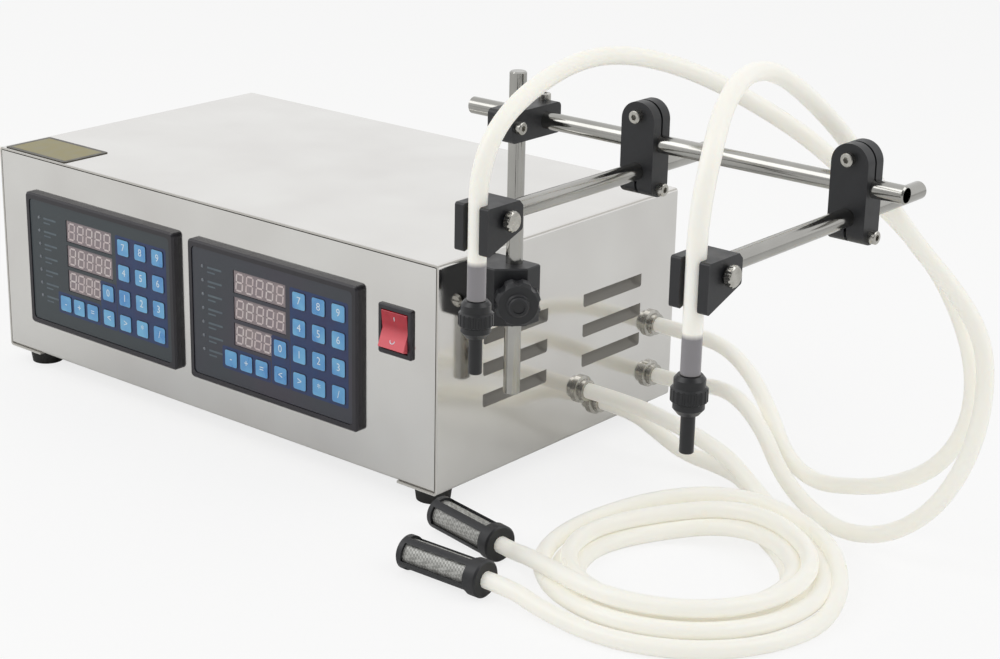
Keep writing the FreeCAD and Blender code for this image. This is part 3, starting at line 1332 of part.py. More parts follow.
def make_strainers():
    """Two foot strainers on the floor, each a ribbed cage round a mesh sleeve."""
    meshes = []
    for side, lay in STRAINERS.items():
        neck = S.strainer_length - S.strainer_band
        rise = (S.strainer_collar - S.strainer_radius).value / neck.value
        level = S.strainer_radius.value + 0.1
        heading = math.radians(lay["heading"])
        way = V(math.cos(heading), math.sin(heading), rise).normalize()
        turn = FreeCAD.Rotation(V(0, 0, 1), way) * FreeCAD.Rotation(V(0, 0, 1), -22)
        tail = V(*lay["tail"], level)
        cage = place(make_cage(f"{side}_strainer_cage"), tail.x, tail.y, tail.z, turn)
        node(cage, f"{side}_strainer_cage")
        mesh = new_body(f"{side}_strainer_mesh")
        outer = S.strainer_radius - S.strainer_wall - S.mesh_gap
        low, high = S.strainer_wall + 1.2, neck - 0.2
        lathe(mesh, "mesh", [(outer - S.mesh_thickness, low), (outer, low), (outer, high),
                             (outer - S.mesh_thickness, high)])
        meshes.append(place(mesh, tail.x, tail.y, tail.z, turn))
        start = tail + way * (S.strainer_length.value + 0.05)
        lead = start + way * lay["lead"]
        make_hose(f"{side}_strainer_hose", [start, lead, *lay["route"]], sockets=("start",))
    bundle("strainer_meshes", meshes)


def make_cage(name):
    body = new_body(name)
    radius, wall, long, collar = S.strainer_radius, S.strainer_wall, S.strainer_length, S.strainer_collar
    neck = long - S.strainer_band
    lathe(body, "tube", [
        (0, 0), (radius - 0.6, 0), (radius, 0.6), (radius, neck), (collar, neck), (collar, long - 1),
        (collar - 1, long), (S.hose_bore - 0.6, long), (S.hose_bore - 0.1, long + 3),
        (S.hose_bore - 0.6, long + 12), (S.fitting_bore, long + 12), (S.fitting_bore, neck),
        (radius - wall, neck),
        (radius - wall, wall + 1), (0, wall + 1)])
    windows = sketch_in(body, "windows_sketch", "YZ")
    half = S.strainer_window / 2
    draw(windows, span(-half, half, wall + 2.5, neck - 2))
    cut = pocket(body, "windows", windows, radius + 1, reverse=True)
    ring_of(body, "window_rows", [cut], 4)
    return body


def make_inner_hoses():
    """Hoses inside the case, from the pump ports to the bulkhead fittings."""
    start = (S.pump_face_x + S.gear_width + S.pump_wall + S.hose_gap).value
    end = (HALF_WIDTH - S.sheet_metal - S.fitting_nut - 3).value
    low, high = (S.pump_y - S.port_spacing / 2).value, (S.pump_y + S.port_spacing / 2).value
    upper, lower = S.upper_pump_z.value, S.lower_pump_z.value
    ports = [(high, upper), (high, lower), (low, upper), (low, lower)]
    pieces = []
    for number, ((y, z), (far_y, far_z)) in enumerate(zip(ports, fitting_spots()), 1):
        item = doc.addObject("Part::Feature", f"inner_hose_{number}")
        far = (far_y.value, far_z.value)
        points = [(start, y, z), (start + 40, y, z), (end - 40, *far), (end, *far)]
        item.Shape = hose_shape(f"inner_hose_{number}", points, ("start", "end"))
        pieces.append(place(item, 0, 0, 0))
    bundle("inner_hoses", pieces)


def make_fittings():
    spots = [(HALF_WIDTH, y, z, ALONG_X) for y, z in fitting_spots()]
    group("hose_fittings", make_fitting, spots)
    group("fitting_nuts", make_fitting_nut, spots)


def make_stand():
    make_clamp_block()
    make_block_screws()
    make_star_knob()
    make_rods()
    make_cross_clamp()
    for side, x in NOZZLE_XS.items():
        make_arm_clamp(side, x)
        make_holder(side, x)
        make_thumb_screw(side, x)
        make_nozzle(side, x)
    make_clamp_screws()


def check_model():
    """Stop on a failed feature, a cut that removes nothing or an invalid part."""
    for item in doc.Objects:
        assert not {"Invalid", "Error"} & set(item.State), (item.Label, item.State)
        if item.TypeId in ("PartDesign::Pocket", "PartDesign::Groove"):
            removed = item.BaseFeature.Shape.Volume - item.Shape.Volume
            assert removed > 0.01, (item.Name, "removes nothing")
    for item in NODES:
        assert not item.Shape.isNull() and item.Shape.isValid(), item.Label


def write_parts():
    os.makedirs("parts", exist_ok=True)
    for item in NODES:
        item.Shape.exportStep(f"parts/{item.Label}.step")
    print(len(NODES), "parts")


def main():
    make_cover()
    make_chassis()
    make_case_fittings()
    displays = make_controller("left", S.controller_left_x)
    displays += make_controller("right", S.controller_right_x)
    bundle("controller_displays", displays)
    make_switch()
    make_rear_fittings()
    make_power_supply()
    make_drive()
    make_inner_hoses()
    make_fittings()
    make_stand()
    make_delivery_hoses()
    make_suction_hoses()
    make_strainers()
    doc.recompute()
    check_model()
    write_parts()


main()
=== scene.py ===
import functools
import logging
import math
from dataclasses import dataclass, replace
from enum import Enum

import bmesh
import bpy
from mathutils import Matrix, Vector


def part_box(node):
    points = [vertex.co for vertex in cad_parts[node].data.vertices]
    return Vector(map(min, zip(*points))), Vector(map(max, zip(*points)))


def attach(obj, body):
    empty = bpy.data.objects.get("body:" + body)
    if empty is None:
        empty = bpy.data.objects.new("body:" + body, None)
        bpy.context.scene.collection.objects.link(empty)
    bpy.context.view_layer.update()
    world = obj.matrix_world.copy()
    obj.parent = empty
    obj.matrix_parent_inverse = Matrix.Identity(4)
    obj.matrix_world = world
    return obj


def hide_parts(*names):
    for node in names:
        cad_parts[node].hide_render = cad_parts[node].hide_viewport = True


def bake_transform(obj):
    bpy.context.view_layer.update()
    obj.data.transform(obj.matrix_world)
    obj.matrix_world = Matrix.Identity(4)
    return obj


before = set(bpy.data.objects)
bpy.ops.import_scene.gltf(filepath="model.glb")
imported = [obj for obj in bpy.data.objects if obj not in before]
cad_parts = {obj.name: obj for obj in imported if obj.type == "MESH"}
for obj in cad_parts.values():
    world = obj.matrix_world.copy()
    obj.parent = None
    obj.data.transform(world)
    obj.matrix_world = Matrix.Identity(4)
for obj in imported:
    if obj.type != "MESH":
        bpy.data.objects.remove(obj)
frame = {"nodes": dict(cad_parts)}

# Looks of a two-head liquid filling machine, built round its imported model. Row frame: X to the
# machine's right, Y to the back, Z up. Lengths in fields are millimetres unless their name says _m.

LOG = logging.getLogger("filling_machine")
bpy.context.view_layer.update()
# outside radius of the hoses, as in the source
HOSE_RADIUS = 5.0
WHITE = (1.0, 1.0, 1.0, 1.0)

Point = tuple[float, float, float]
Route = tuple[Point, ...]
Tree = bpy.types.NodeTree
Socket = bpy.types.NodeSocket


def mm(length: float) -> float:
    """Millimetres as metres."""
    return length / 1000.0


def linear(code: str) -> tuple[float, float, float, float]:
    """Turn an sRGB hex colour into a linear colour with full alpha.

    Args:
        code: Colour as "#rrggbb".

    Returns:
        Linear red, green, blue and alpha.
    """
    levels = [int(code[start:start + 2], 16) / 255 for start in (1, 3, 5)]
    red, green, blue = [
        level / 12.92 if level <= 0.04045 else ((level + 0.055) / 1.055) ** 2.4
        for level in levels
    ]
    return (red, green, blue, 1.0)


def add_node(
    tree: Tree,
    kind: str,
    inputs: dict[str | int, object] | None = None,
    **settings: object,
) -> bpy.types.Node:
    """Add a shader node with its settings, and fill or link its inputs.

    Args:
        tree: Node tree that gets the node.
        kind: Node type without its "ShaderNode" prefix.
        inputs: Input name or number to a value, or to a socket that is linked.
        settings: Properties of the node itself.

    Returns:
        The new node.
    """
    node = tree.nodes.new(f"ShaderNode{kind}")
    for name, value in settings.items():
        setattr(node, name, value)
    for key, value in (inputs or {}).items():
        if isinstance(value, Socket):
            tree.links.new(value, node.inputs[key])
        else:
            node.inputs[key].default_value = value
    return node


# Finishes


# mesh attribute with each vertex's place at rest, so that a hose's pattern moves with it
REST_PLACE = "rest_place"
# colour sockets of a Mix node, by number because their names repeat: two inputs and the output
MIX_FROM, MIX_TO, MIX_COLOUR = 6, 7, 2
# the middle of the noise's range, between which colour and gloss change
BLOTCH_LOW, BLOTCH_HIGH = 0.3, 0.7
# depth of the fine texture in millimetres
GRAIN_DEPTH = 0.1


def outside_of(tree: Tree, coords: Socket, spans: dict[str, tuple[float, float]]) -> Socket:
    """Mark what lies beyond two spans along their axes.

    Args:
        tree: Node tree of the material.
        coords: Object coordinates in metres.
        spans: Two axes, each with the middle and half the length of its span in metres.

    Returns:
        Socket with 1 beyond either span and 0 within both.
    """
    axes = add_node(tree, "SeparateXYZ", {0: coords})
    marks = []
    for axis, (middle, half) in spans.items():
        shifted = add_node(tree, "Math", {0: axes.outputs[axis], 1: middle}, operation="SUBTRACT")
        away = add_node(tree, "Math", {0: shifted.outputs[0]}, operation="ABSOLUTE")
        distance = away.outputs[0]
        marks.append(add_node(tree, "Math", {0: distance, 1: half}, operation="GREATER_THAN"))
    first, second = marks
    return add_node(
        tree, "Math", {0: first.outputs[0], 1: second.outputs[0]}, operation="MAXIMUM"
    ).outputs[0]


@dataclass(frozen=True)
class Finish:
    """A real surface: its colours, its gloss and the texture its making left.

    Attributes:
        name: The finish in a maker's words.
        colour: Main sRGB colour.
        shade: Second sRGB colour, mixed in along the blotches.
        roughness: Middle roughness.
        spread: How far the roughness swings either way.
        metallic: 1 for bare metal.
        ior: Refraction index of anything that isn't metal.
        grain_mm: Size of the fine texture along X, Y and Z.
        relief: Strength of the fine texture's bump.
        blotch_mm: Size of the slow colour and gloss changes.
    """

    name: str
    colour: str
    shade: str
    roughness: float
    spread: float = 0.04
    metallic: float = 0.0
    ior: float = 1.5
    grain_mm: Point = (0.8, 0.8, 0.8)
    relief: float = 0.1
    blotch_mm: float = 40.0

    def paint(self, tree: Tree, coords: Socket, blotch: Socket) -> Socket:
        """Mix the two colours along the blotches.

        Args:
            tree: Node tree of the material.
            coords: Object coordinates in metres.
            blotch: Slow noise from 0 to 1.

        Returns:
            Socket with the surface's colour.
        """
        ramp = add_node(tree, "ValToRGB", {"Fac": blotch})
        low, high = ramp.color_ramp.elements
        low.position, low.color = BLOTCH_LOW, linear(self.shade)
        high.position, high.color = BLOTCH_HIGH, linear(self.colour)
        return ramp.outputs["Color"]

    def constants(self) -> dict[str, object]:
        """Further shader inputs that are the same all over the surface."""
        return {}

    def noise(self, tree: Tree, coords: Socket, size_mm: Point) -> Socket:
        """Noise whose features have a real size.

        Args:
            tree: Node tree of the material.
            coords: Object coordinates in metres.
            size_mm: Feature size along X, Y and Z.

        Returns:
            Socket with noise from 0 to 1.
        """
        scale = tuple(1.0 / mm(size) for size in size_mm)
        spot = add_node(tree, "Mapping", {"Vector": coords, "Scale": scale})
        return add_node(
            tree, "TexNoise", {"Vector": spot.outputs[0], "Scale": 1.0, "Detail": 2.0}
        ).outputs[0]

    def build(self) -> bpy.types.Material:
        """Make the Blender material of this finish.

        Returns:
            The new material.
        """
        material = bpy.data.materials.new(self.name)
        material.use_nodes = True
        tree = material.node_tree
        tree.nodes.clear()
        coords = add_node(tree, "TexCoord").outputs["Object"]
        grain = self.noise(tree, coords, self.grain_mm)
        blotch = self.noise(tree, coords, (self.blotch_mm,) * 3)
        bump = add_node(
            tree, "Bump", {"Height": grain, "Strength": self.relief, "Distance": mm(GRAIN_DEPTH)}
        )
        gloss = add_node(
            tree,
            "MapRange",
            {
                "Value": blotch,
                "From Min": BLOTCH_LOW,
                "From Max": BLOTCH_HIGH,
                "To Min": self.roughness - self.spread,
                "To Max": self.roughness + self.spread,
            },
        )
        shader = add_node(
            tree,
            "BsdfPrincipled",
            {
                "Base Color": self.paint(tree, coords, blotch),
                "Metallic": self.metallic,
                "Roughness": gloss.outputs[0],
                "IOR": self.ior,
                "Normal": bump.outputs[0],
                **self.constants(),
            },
        )
        add_node(tree, "OutputMaterial", {"Surface": shader.outputs[0]})
        return material


@dataclass(frozen=True)
class SiliconeFinish(Finish):
    """Extruded translucent silicone: milky, with light spreading inside its wall, and a painted
    glow of faint emission though it is no lamp.

    Attributes:
        glow: Share of light that spreads inside the wall.
        painted_glow: Strength of a painted glow: emission that brightens the wall as if it carried
            light along.
    """

    glow: float = 0.4
    painted_glow: float = 0.13

    def constants(self) -> dict[str, object]:
        """Let light spread inside the wall, and add a painted glow of faint emission.

        Returns:
            Shader input names with their values.
        """
        return {
            "Subsurface Weight": self.glow,
            "Subsurface Radius": (mm(6), mm(5), mm(4)),
            "Subsurface Scale": 1.0,
            # painted glow: a faint warm emission brightens the hose, though it is no lamp
            "Emission Color": linear("#fffaf0"),
            "Emission Strength": self.painted_glow,
        }


@dataclass(frozen=True)
class SleevedSiliconeFinish(SiliconeFinish):
    """Silicone whose wall lets a dark barb show through near a nozzle.

    Attributes:
        core: Colour where the barb shows.
        barb_top_mm: Height at which the barb ends.
        fade_mm: Half the height over which its end shows.
        behind_mm: Y behind which the hose is plain at every height.
    """

    core: str = "#585763"
    barb_top_mm: float = 190.0
    fade_mm: float = 1.5
    behind_mm: float = -145.0

    def paint(self, tree: Tree, coords: Socket, blotch: Socket) -> Socket:
        """Darken the stretch over the barb, with a soft upper end.

        Args:
            tree: Node tree of the material.
            coords: Object coordinates in metres.
            blotch: Slow noise from 0 to 1.

        Returns:
            Socket with the surface's colour.
        """
        plain = super().paint(tree, coords, blotch)
        place = add_node(tree, "Attribute", attribute_name=REST_PLACE)
        axes = add_node(tree, "SeparateXYZ", {0: place.outputs["Vector"]})
        below = add_node(
            tree,
            "MapRange",
            {
                "Value": axes.outputs["Z"],
                "From Min": mm(self.barb_top_mm + self.fade_mm),
                "From Max": mm(self.barb_top_mm - self.fade_mm),
            },
        )
        near = add_node(
            tree, "Math", {0: axes.outputs["Y"], 1: mm(self.behind_mm)}, operation="LESS_THAN"
        )
        share = add_node(
            tree, "Math", {0: below.outputs[0], 1: near.outputs[0]}, operation="MULTIPLY"
        )
        colours = {"Factor": share.outputs[0], MIX_FROM: plain, MIX_TO: linear(self.core)}
        return add_node(tree, "Mix", colours, data_type="RGBA").outputs[MIX_COLOUR]


@dataclass(frozen=True)
class PaintedHighlightFinish(Finish):
    """A moulding with a painted highlight: below one height its colour turns to a lighter one that
    stands in for light falling there.

    Attributes:
        lower: Second colour, below the change: the painted highlight.
        level_mm: Height of the change.
        fade_mm: Half the height over which the colours blend.
    """

    lower: str = "#ffffff"
    level_mm: float = 0.0
    fade_mm: float = 1.0

    def paint(self, tree: Tree, coords: Socket, blotch: Socket) -> Socket:
        """Blend the lower colour, a painted highlight, into the finish's own at the level.

        Args:
            tree: Node tree of the material.
            coords: Object coordinates in metres.
            blotch: Slow noise from 0 to 1.

        Returns:
            Socket with the surface's colour.
        """
        upper = super().paint(tree, coords, blotch)
        height = add_node(tree, "SeparateXYZ", {0: coords}).outputs["Z"]
        share = add_node(
            tree,
            "MapRange",
            {
                "Value": height,
                "From Min": mm(self.level_mm - self.fade_mm),
                "From Max": mm(self.level_mm + self.fade_mm),
            },
        )
        # painted highlight: the lower colour stands in for light on the lower part, not the
        # moulding's own colour
        colours = {"Factor": share.outputs[0], MIX_FROM: linear(self.lower), MIX_TO: upper}
        return add_node(tree, "Mix", colours, data_type="RGBA").outputs[MIX_COLOUR]


@dataclass(frozen=True)
class FramedFinish(Finish):
    """A plate with a dark printed frame round its bare field.

    Attributes:
        frame: Colour of the frame.
        middle_mm: Middle of the plate along X and Y.
        half_mm: Half the field's size along X and Y.
    """

    frame: str = "#222222"
    middle_mm: tuple[float, float] = (0.0, 0.0)
    half_mm: tuple[float, float] = (1.0, 1.0)

    def paint(self, tree: Tree, coords: Socket, blotch: Socket) -> Socket:
        """Give everything outside the field the frame's colour.

        Args:
            tree: Node tree of the material.
            coords: Object coordinates in metres.
            blotch: Slow noise from 0 to 1.

        Returns:
            Socket with the surface's colour.
        """
        spans = {
            axis: (mm(middle), mm(half))
            for axis, middle, half in zip("XY", self.middle_mm, self.half_mm)
        }
        colours = {
            "Factor": outside_of(tree, coords, spans),
            MIX_FROM: super().paint(tree, coords, blotch),
            MIX_TO: linear(self.frame),
        }
        return add_node(tree, "Mix", colours, data_type="RGBA").outputs[MIX_COLOUR]


@dataclass(frozen=True)
class TwoFaceFinish(Finish):
    """A folded sheet that is polished outside and left matt inside the case.

    Attributes:
        inside: Colour of the matt face.
        low_mm: Lower limits of the inside along X and Z.
        high_mm: Upper limits of the inside along X and Z.
        inner_metal: Metallic value of the matt face. It is set low for the look, because as
            bare metal the louvres' hoods mirror the dark case and turn black.
    """

    inside: str = "#b9b8b4"
    low_mm: tuple[float, float] = (0.0, 0.0)
    high_mm: tuple[float, float] = (1.0, 1.0)
    inner_metal: float = 0.25

    def polish(self, tree: Tree, coords: Socket) -> Socket:
        """Tell the polished faces from the matt ones.

        Args:
            tree: Node tree of the material.
            coords: Object coordinates in metres.

        Returns:
            Socket with 1 on the outer faces and 0 inside.
        """
        spans = {
            axis: (mm(low + high) / 2, mm(high - low) / 2)
            for axis, low, high in zip("XZ", self.low_mm, self.high_mm)
        }
        return outside_of(tree, coords, spans)

    def paint(self, tree: Tree, coords: Socket, blotch: Socket) -> Socket:
        """Give the inner faces their own colour.

        Args:
            tree: Node tree of the material.
            coords: Object coordinates in metres.
            blotch: Slow noise from 0 to 1.

        Returns:
            Socket with the surface's colour.
        """
        colours = {
            "Factor": self.polish(tree, coords),
            MIX_FROM: linear(self.inside),
            MIX_TO: super().paint(tree, coords, blotch),
        }
        return add_node(tree, "Mix", colours, data_type="RGBA").outputs[MIX_COLOUR]

    def build(self) -> bpy.types.Material:
        """Make the material, with bare metal's mirror only where the sheet is polished.

        Returns:
            The new material.
        """
        material = super().build()
        tree = material.node_tree
        shader = next(item for item in tree.nodes if item.type == "BSDF_PRINCIPLED")
        coords = next(item for item in tree.nodes if item.type == "TEX_COORD").outputs["Object"]
        share = add_node(
            tree,
            "MapRange",
            {"Value": self.polish(tree, coords), "To Min": self.inner_metal, "To Max": 1.0},
        )
        tree.links.new(share.outputs[0], shader.inputs["Metallic"])
        return material


@dataclass(frozen=True)
class WovenFinish(Finish):
    """Woven wire cloth: crossing bright wires over dark holes.

    Attributes:
        pitch_mm: Spacing of the wires, drawn coarse enough to show.
        turn: Turn of the weave about X, Y and Z in radians, so that it lies along no face.
        holes: Colour of the holes.
    """

    pitch_mm: float = 1.6
    turn: Point = (0.6, 0.4, 0.8)
    holes: str = "#90908c"

    def paint(self, tree: Tree, coords: Socket, blotch: Socket) -> Socket:
        """Darken the holes between the wires.

        Args:
            tree: Node tree of the material.
            coords: Object coordinates in metres.
            blotch: Slow noise from 0 to 1.

        Returns:
            Socket with the surface's colour.
        """
        turned = add_node(tree, "Mapping", {"Vector": coords, "Rotation": self.turn})
        checks = {
            "Vector": turned.outputs[0],
            "Scale": 1.0 / mm(self.pitch_mm),
            "Color1": super().paint(tree, coords, blotch),
            "Color2": linear(self.holes),
        }
        return add_node(tree, "TexChecker", checks).outputs["Color"]


# cold rolled stainless sheet, polished before bending: mirror-like, a faint lengthwise grain
CASE_SHEET = Finish(
    "polished_stainless_sheet", "#dfdedb", "#d6d4d1", 0.12, 0.03, 1.0,
    grain_mm=(60.0, 0.7, 0.7), relief=0.04, blotch_mm=70.0,
)
# the cover's sheet: the same outside, and its matt mill finish inside and in the louvres' hoods
COVER_SHEET = TwoFaceFinish(
    "two_sided_stainless_sheet", "#dfdedb", "#d6d4d1", 0.12, 0.03, 1.0,
    grain_mm=(60.0, 0.7, 0.7), relief=0.04, blotch_mm=70.0, inside="#c4c1bb",
    low_mm=(-330.6, 11.4), high_mm=(68.6, 154.1),
)
# drawn and polished stainless bar: long sharp reflections
DRAWN_BAR = Finish(
    "drawn_stainless_bar", "#aeada9", "#a09f9b", 0.14, 0.04, 1.0,
    grain_mm=(0.6, 0.6, 0.6), relief=0.03, blotch_mm=30.0,
)
# nickel plated screw or fitting: a little duller than the bars
PLATED_SCREW = Finish(
    "nickel_plated_screw", "#c4c2bc", "#a9a7a1", 0.24, 0.06, 1.0, relief=0.08, blotch_mm=4.0
)
# zinc plated pressing: soft grey with cloudy passivation
ZINC_PLATE = Finish(
    "zinc_plated_steel", "#aeb0b1", "#9b9ea3", 0.34, 0.08, 1.0,
    grain_mm=(1.2, 1.2, 1.2), relief=0.1, blotch_mm=12.0,
)
# milled aluminium: pale with fine tool marks
MILLED_ALUMINIUM = Finish(
    "milled_aluminium", "#c9cbce", "#b6b9bd", 0.3, 0.05, 1.0,
    grain_mm=(0.4, 6.0, 0.4), relief=0.12, blotch_mm=18.0,
)
# glass filled nylon, injection moulded: black with a fine spark-eroded grain
MOULDED_NYLON = Finish(
    "moulded_black_nylon", "#242528", "#1c1d20", 0.42, 0.06,
    grain_mm=(0.7, 0.7, 0.7), relief=0.22, blotch_mm=9.0,
)
# turned acetal: black and smoother than the mouldings
TURNED_ACETAL = Finish(
    "turned_black_acetal", "#1d1e21", "#161719", 0.33, 0.05, ior=1.48,
    grain_mm=(0.5, 0.5, 0.3), relief=0.1, blotch_mm=7.0,
)
# moulded ABS bezel: near black with a faint sheen
BEZEL_ABS = Finish(
    "moulded_bezel_abs", "#26232a", "#1d1b21", 0.38, 0.05, ior=1.53,
    grain_mm=(0.5, 0.5, 0.5), relief=0.1, blotch_mm=16.0,
)
# printed polyester keypad film, satin: slate grey, a touch greener on the left controller
KEYPAD_FILM_LEFT = Finish(
    "slate_green_keypad_film", "#2e383d", "#293238", 0.34, 0.04, ior=1.57,
    grain_mm=(0.4, 0.4, 0.4), relief=0.05, blotch_mm=45.0,
)
KEYPAD_FILM_RIGHT = replace(
    KEYPAD_FILM_LEFT, name="slate_violet_keypad_film", colour="#35323e", shade="#2d333b"
)
# deep blue ink field printed round the keys
KEY_FIELD_INK = Finish(
    "deep_blue_screen_ink", "#1f3a66", "#25305a", 0.4, 0.04, relief=0.04, blotch_mm=14.0
)
# domed key tops, sky blue ink under satin film
KEY_TOP_FILM = Finish(
    "sky_blue_key_film", "#74b6dd", "#4f8fcb", 0.3, 0.04, ior=1.57, relief=0.05, blotch_mm=16.0
)
# white ink of the key legends and the rocker's marks
LEGEND_INK = Finish(
    "white_legend_ink", "#dfeaf2", "#cfdfea", 0.45, 0.04, relief=0.03, blotch_mm=6.0
)
# grey ink of the printed guide lines
GUIDE_INK = Finish(
    "grey_guide_ink", "#5d6a70", "#525d66", 0.45, 0.04, relief=0.03, blotch_mm=6.0
)
# moulded acrylic lens of a small indicator lamp: smooth and clouded
INDICATOR_LENS = Finish(
    "clouded_indicator_lens", "#7b8187", "#6a6f77", 0.2, 0.04, ior=1.49, relief=0.02, blotch_mm=3.0
)
# unlit digit display: greyish pink face, paler segments
DISPLAY_FACE = Finish(
    "unlit_display_face", "#8d8182", "#877b80", 0.26, 0.04, ior=1.53, relief=0.02, blotch_mm=12.0
)
DISPLAY_SEGMENT = Finish(
    "unlit_display_segment", "#cfc6c4", "#c6b6b6", 0.3, 0.04, ior=1.53, relief=0.02, blotch_mm=9.0
)
# epoxy glass board under green solder resist
BOARD_LAMINATE = Finish(
    "green_board_laminate", "#1f5a34", "#184a2b", 0.36, 0.06, ior=1.55, relief=0.1, blotch_mm=9.0
)
# transparent red rocker: dark where it leans in; its lower half has a painted highlight, pink where
# it catches the light
ROCKER_RED = PaintedHighlightFinish(
    "red_polycarbonate_rocker", "#b8142c", "#aa1027", 0.16, 0.03, ior=1.58,
    relief=0.03, blotch_mm=6.0, lower="#e5646e", level_mm=107.0, fade_mm=4.0,
)
# moulded nitrile foot: dull black
FOOT_RUBBER = Finish(
    "moulded_nitrile_rubber", "#222120", "#191817", 0.62, 0.06, ior=1.52,
    grain_mm=(0.9, 0.9, 0.9), relief=0.25, blotch_mm=6.0,
)
# etched and lacquered label plate, olive gold inside a dark frame
LABEL_PLATE = FramedFinish(
    "olive_gold_label_plate", "#8c8146", "#7c7440", 0.36, 0.05, 0.0, relief=0.06, blotch_mm=11.0,
    frame="#3a3526", middle_mm=(-295.0, -55.6), half_mm=(28.0, 16.0),
)
# fine stainless wire cloth in the strainer windows
WIRE_CLOTH = WovenFinish(
    "stainless_wire_cloth", "#bfbfbb", "#b2b2ae", 0.4, 0.05, 0.3, relief=0.15, blotch_mm=5.0
)
# extruded food grade silicone: milky, with a painted glow of faint emission, and a smooth skin
HOSE_SILICONE = SiliconeFinish(
    "extruded_milky_silicone", "#f6f5ee", "#f3f2ea", 0.3, 0.03, ior=1.41,
    grain_mm=(1.5, 1.5, 1.5), relief=0.03, blotch_mm=45.0,
)
# the same hose where it grips a nozzle's dark barb, which shows through the wall
LEFT_HOSE_SILICONE = SleevedSiliconeFinish(
    "left_sleeved_silicone", "#f6f5ee", "#f3f2ea", 0.3, 0.03, ior=1.41,
    grain_mm=(1.5, 1.5, 1.5), relief=0.03, blotch_mm=45.0, barb_top_mm=196.0,
)
RIGHT_HOSE_SILICONE = replace(
    LEFT_HOSE_SILICONE, name="right_sleeved_silicone", barb_top_mm=189.0
)


@functools.cache
def material_of(finish: Finish) -> bpy.types.Material:
    """The one Blender material of a finish."""
    return finish.build()


NODE_FINISHES: dict[Finish, tuple[str, ...]] = {
    COVER_SHEET: ("cover_shell",),
    CASE_SHEET: ("chassis_tray",),
    DRAWN_BAR: ("post", "cross_rail", "left_arm", "right_arm"),
    PLATED_SCREW: (
        "foot_screws", "cover_screws", "clamp_screws", "clamp_block_screws", "fitting_nuts",
        "hose_fittings", "left_thumb_screw", "right_thumb_screw",
    ),
    ZINC_PLATE: (
        "pump_bracket", "pump_motors", "power_supply", "upper_drive_gear", "upper_idler_gear",
        "lower_drive_gear", "lower_idler_gear",
    ),
    MILLED_ALUMINIUM: (
        "upper_pump_body", "upper_pump_cover", "lower_pump_body", "lower_pump_cover",
    ),
    MOULDED_NYLON: (
        "clamp_block", "cross_clamp", "left_arm_clamp", "right_arm_clamp", "left_nozzle_holder",
        "right_nozzle_holder", "star_knob", "front_strainer_cage", "rear_strainer_cage",
        "power_inlet", "fuse_holder",
    ),
    TURNED_ACETAL: (
        "left_nozzle_tube", "left_nozzle_barrel", "right_nozzle_tube", "right_nozzle_barrel",
    ),
    BEZEL_ABS: ("left_controller_frame", "right_controller_frame", "switch_frame"),
    KEYPAD_FILM_LEFT: ("left_keypad_overlay",),
    KEYPAD_FILM_RIGHT: ("right_keypad_overlay",),
    DISPLAY_FACE: ("controller_displays",),
    BOARD_LAMINATE: ("left_control_board", "right_control_board"),
    ROCKER_RED: ("switch_rocker",),
    FOOT_RUBBER: ("case_feet",),
    LABEL_PLATE: ("label_plate",),
    WIRE_CLOTH: ("strainer_meshes",),
    HOSE_SILICONE: (
        "left_delivery_hose", "right_delivery_hose", "upper_suction_hose", "lower_suction_hose",
        "front_strainer_hose", "rear_strainer_hose", "hose_coil", "inner_hoses",
    ),
}


def dress_frame() -> None:
    """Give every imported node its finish."""
    for finish, names in NODE_FINISHES.items():
        for name in names:
            mesh = frame["nodes"][name].data
            mesh.materials.clear()
            mesh.materials.append(material_of(finish))
            LOG.info("node %s: %s", name, finish.name)


# Building helpers


def finished_piece(
    name: str, shape: bmesh.types.BMesh, finish: Finish, body: str, smooth: bool = False
) -> bpy.types.Object:
    """Turn a bmesh into a piece that rides on a body.

    Args:
        name: Name of the piece.
        shape: Mesh in the row frame; it is freed.
        finish: Surface of the piece.
        body: CAD body that it moves with.
        smooth: True for a rounded surface.

    Returns:
        The piece's object, at the origin.
    """
    mesh = bpy.data.meshes.new(name)
    shape.to_mesh(mesh)
    shape.free()
    mesh.materials.append(material_of(finish))
    if smooth:
        mesh.shade_smooth()
    piece = bpy.data.objects.new(name, mesh)
    bpy.context.scene.collection.objects.link(piece)
    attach(piece, body)
    LOG.info("piece %s: %d faces on %s", name, len(mesh.polygons), body)
    return piece


def add_copy(shape: bmesh.types.BMesh, template: bpy.types.Mesh, place: Matrix) -> None:
    """Add a template mesh to a bmesh at a place.

    Args:
        shape: Mesh that grows.
        template: Mesh about its own origin.
        place: Where it goes.
    """
    before = len(shape.verts)
    shape.from_mesh(template)
    shape.verts.ensure_lookup_table()
    bmesh.ops.transform(shape, matrix=place, verts=shape.verts[before:])


def plate_template(width: float, height: float, corner: float, thickness: float) -> bpy.types.Mesh:
    """Make a thin plate with rounded corners, flat on XY about its middle.

    Args:
        width: Size along X in millimetres.
        height: Size along Y.
        corner: Corner radius.
        thickness: Size along Z, from zero up.

    Returns:
        The template mesh, in metres.
    """
    shape = bmesh.new()
    bmesh.ops.create_grid(shape, x_segments=1, y_segments=1, size=0.5)
    bmesh.ops.scale(shape, vec=(mm(width), mm(height), 1.0), verts=shape.verts)
    bmesh.ops.bevel(
        shape, geom=shape.verts[:], offset=mm(corner), offset_type="OFFSET", segments=3,
        profile=0.5, affect="VERTICES", material=-1,
    )
    raised = bmesh.ops.extrude_face_region(shape, geom=shape.faces[:])
    top = [item for item in raised["geom"] if isinstance(item, bmesh.types.BMVert)]
    bmesh.ops.translate(shape, vec=(0.0, 0.0, mm(thickness)), verts=top)
    bmesh.ops.recalc_face_normals(shape, faces=shape.faces)
    mesh = bpy.data.meshes.new("plate_template")
    shape.to_mesh(mesh)
    shape.free()
    return mesh


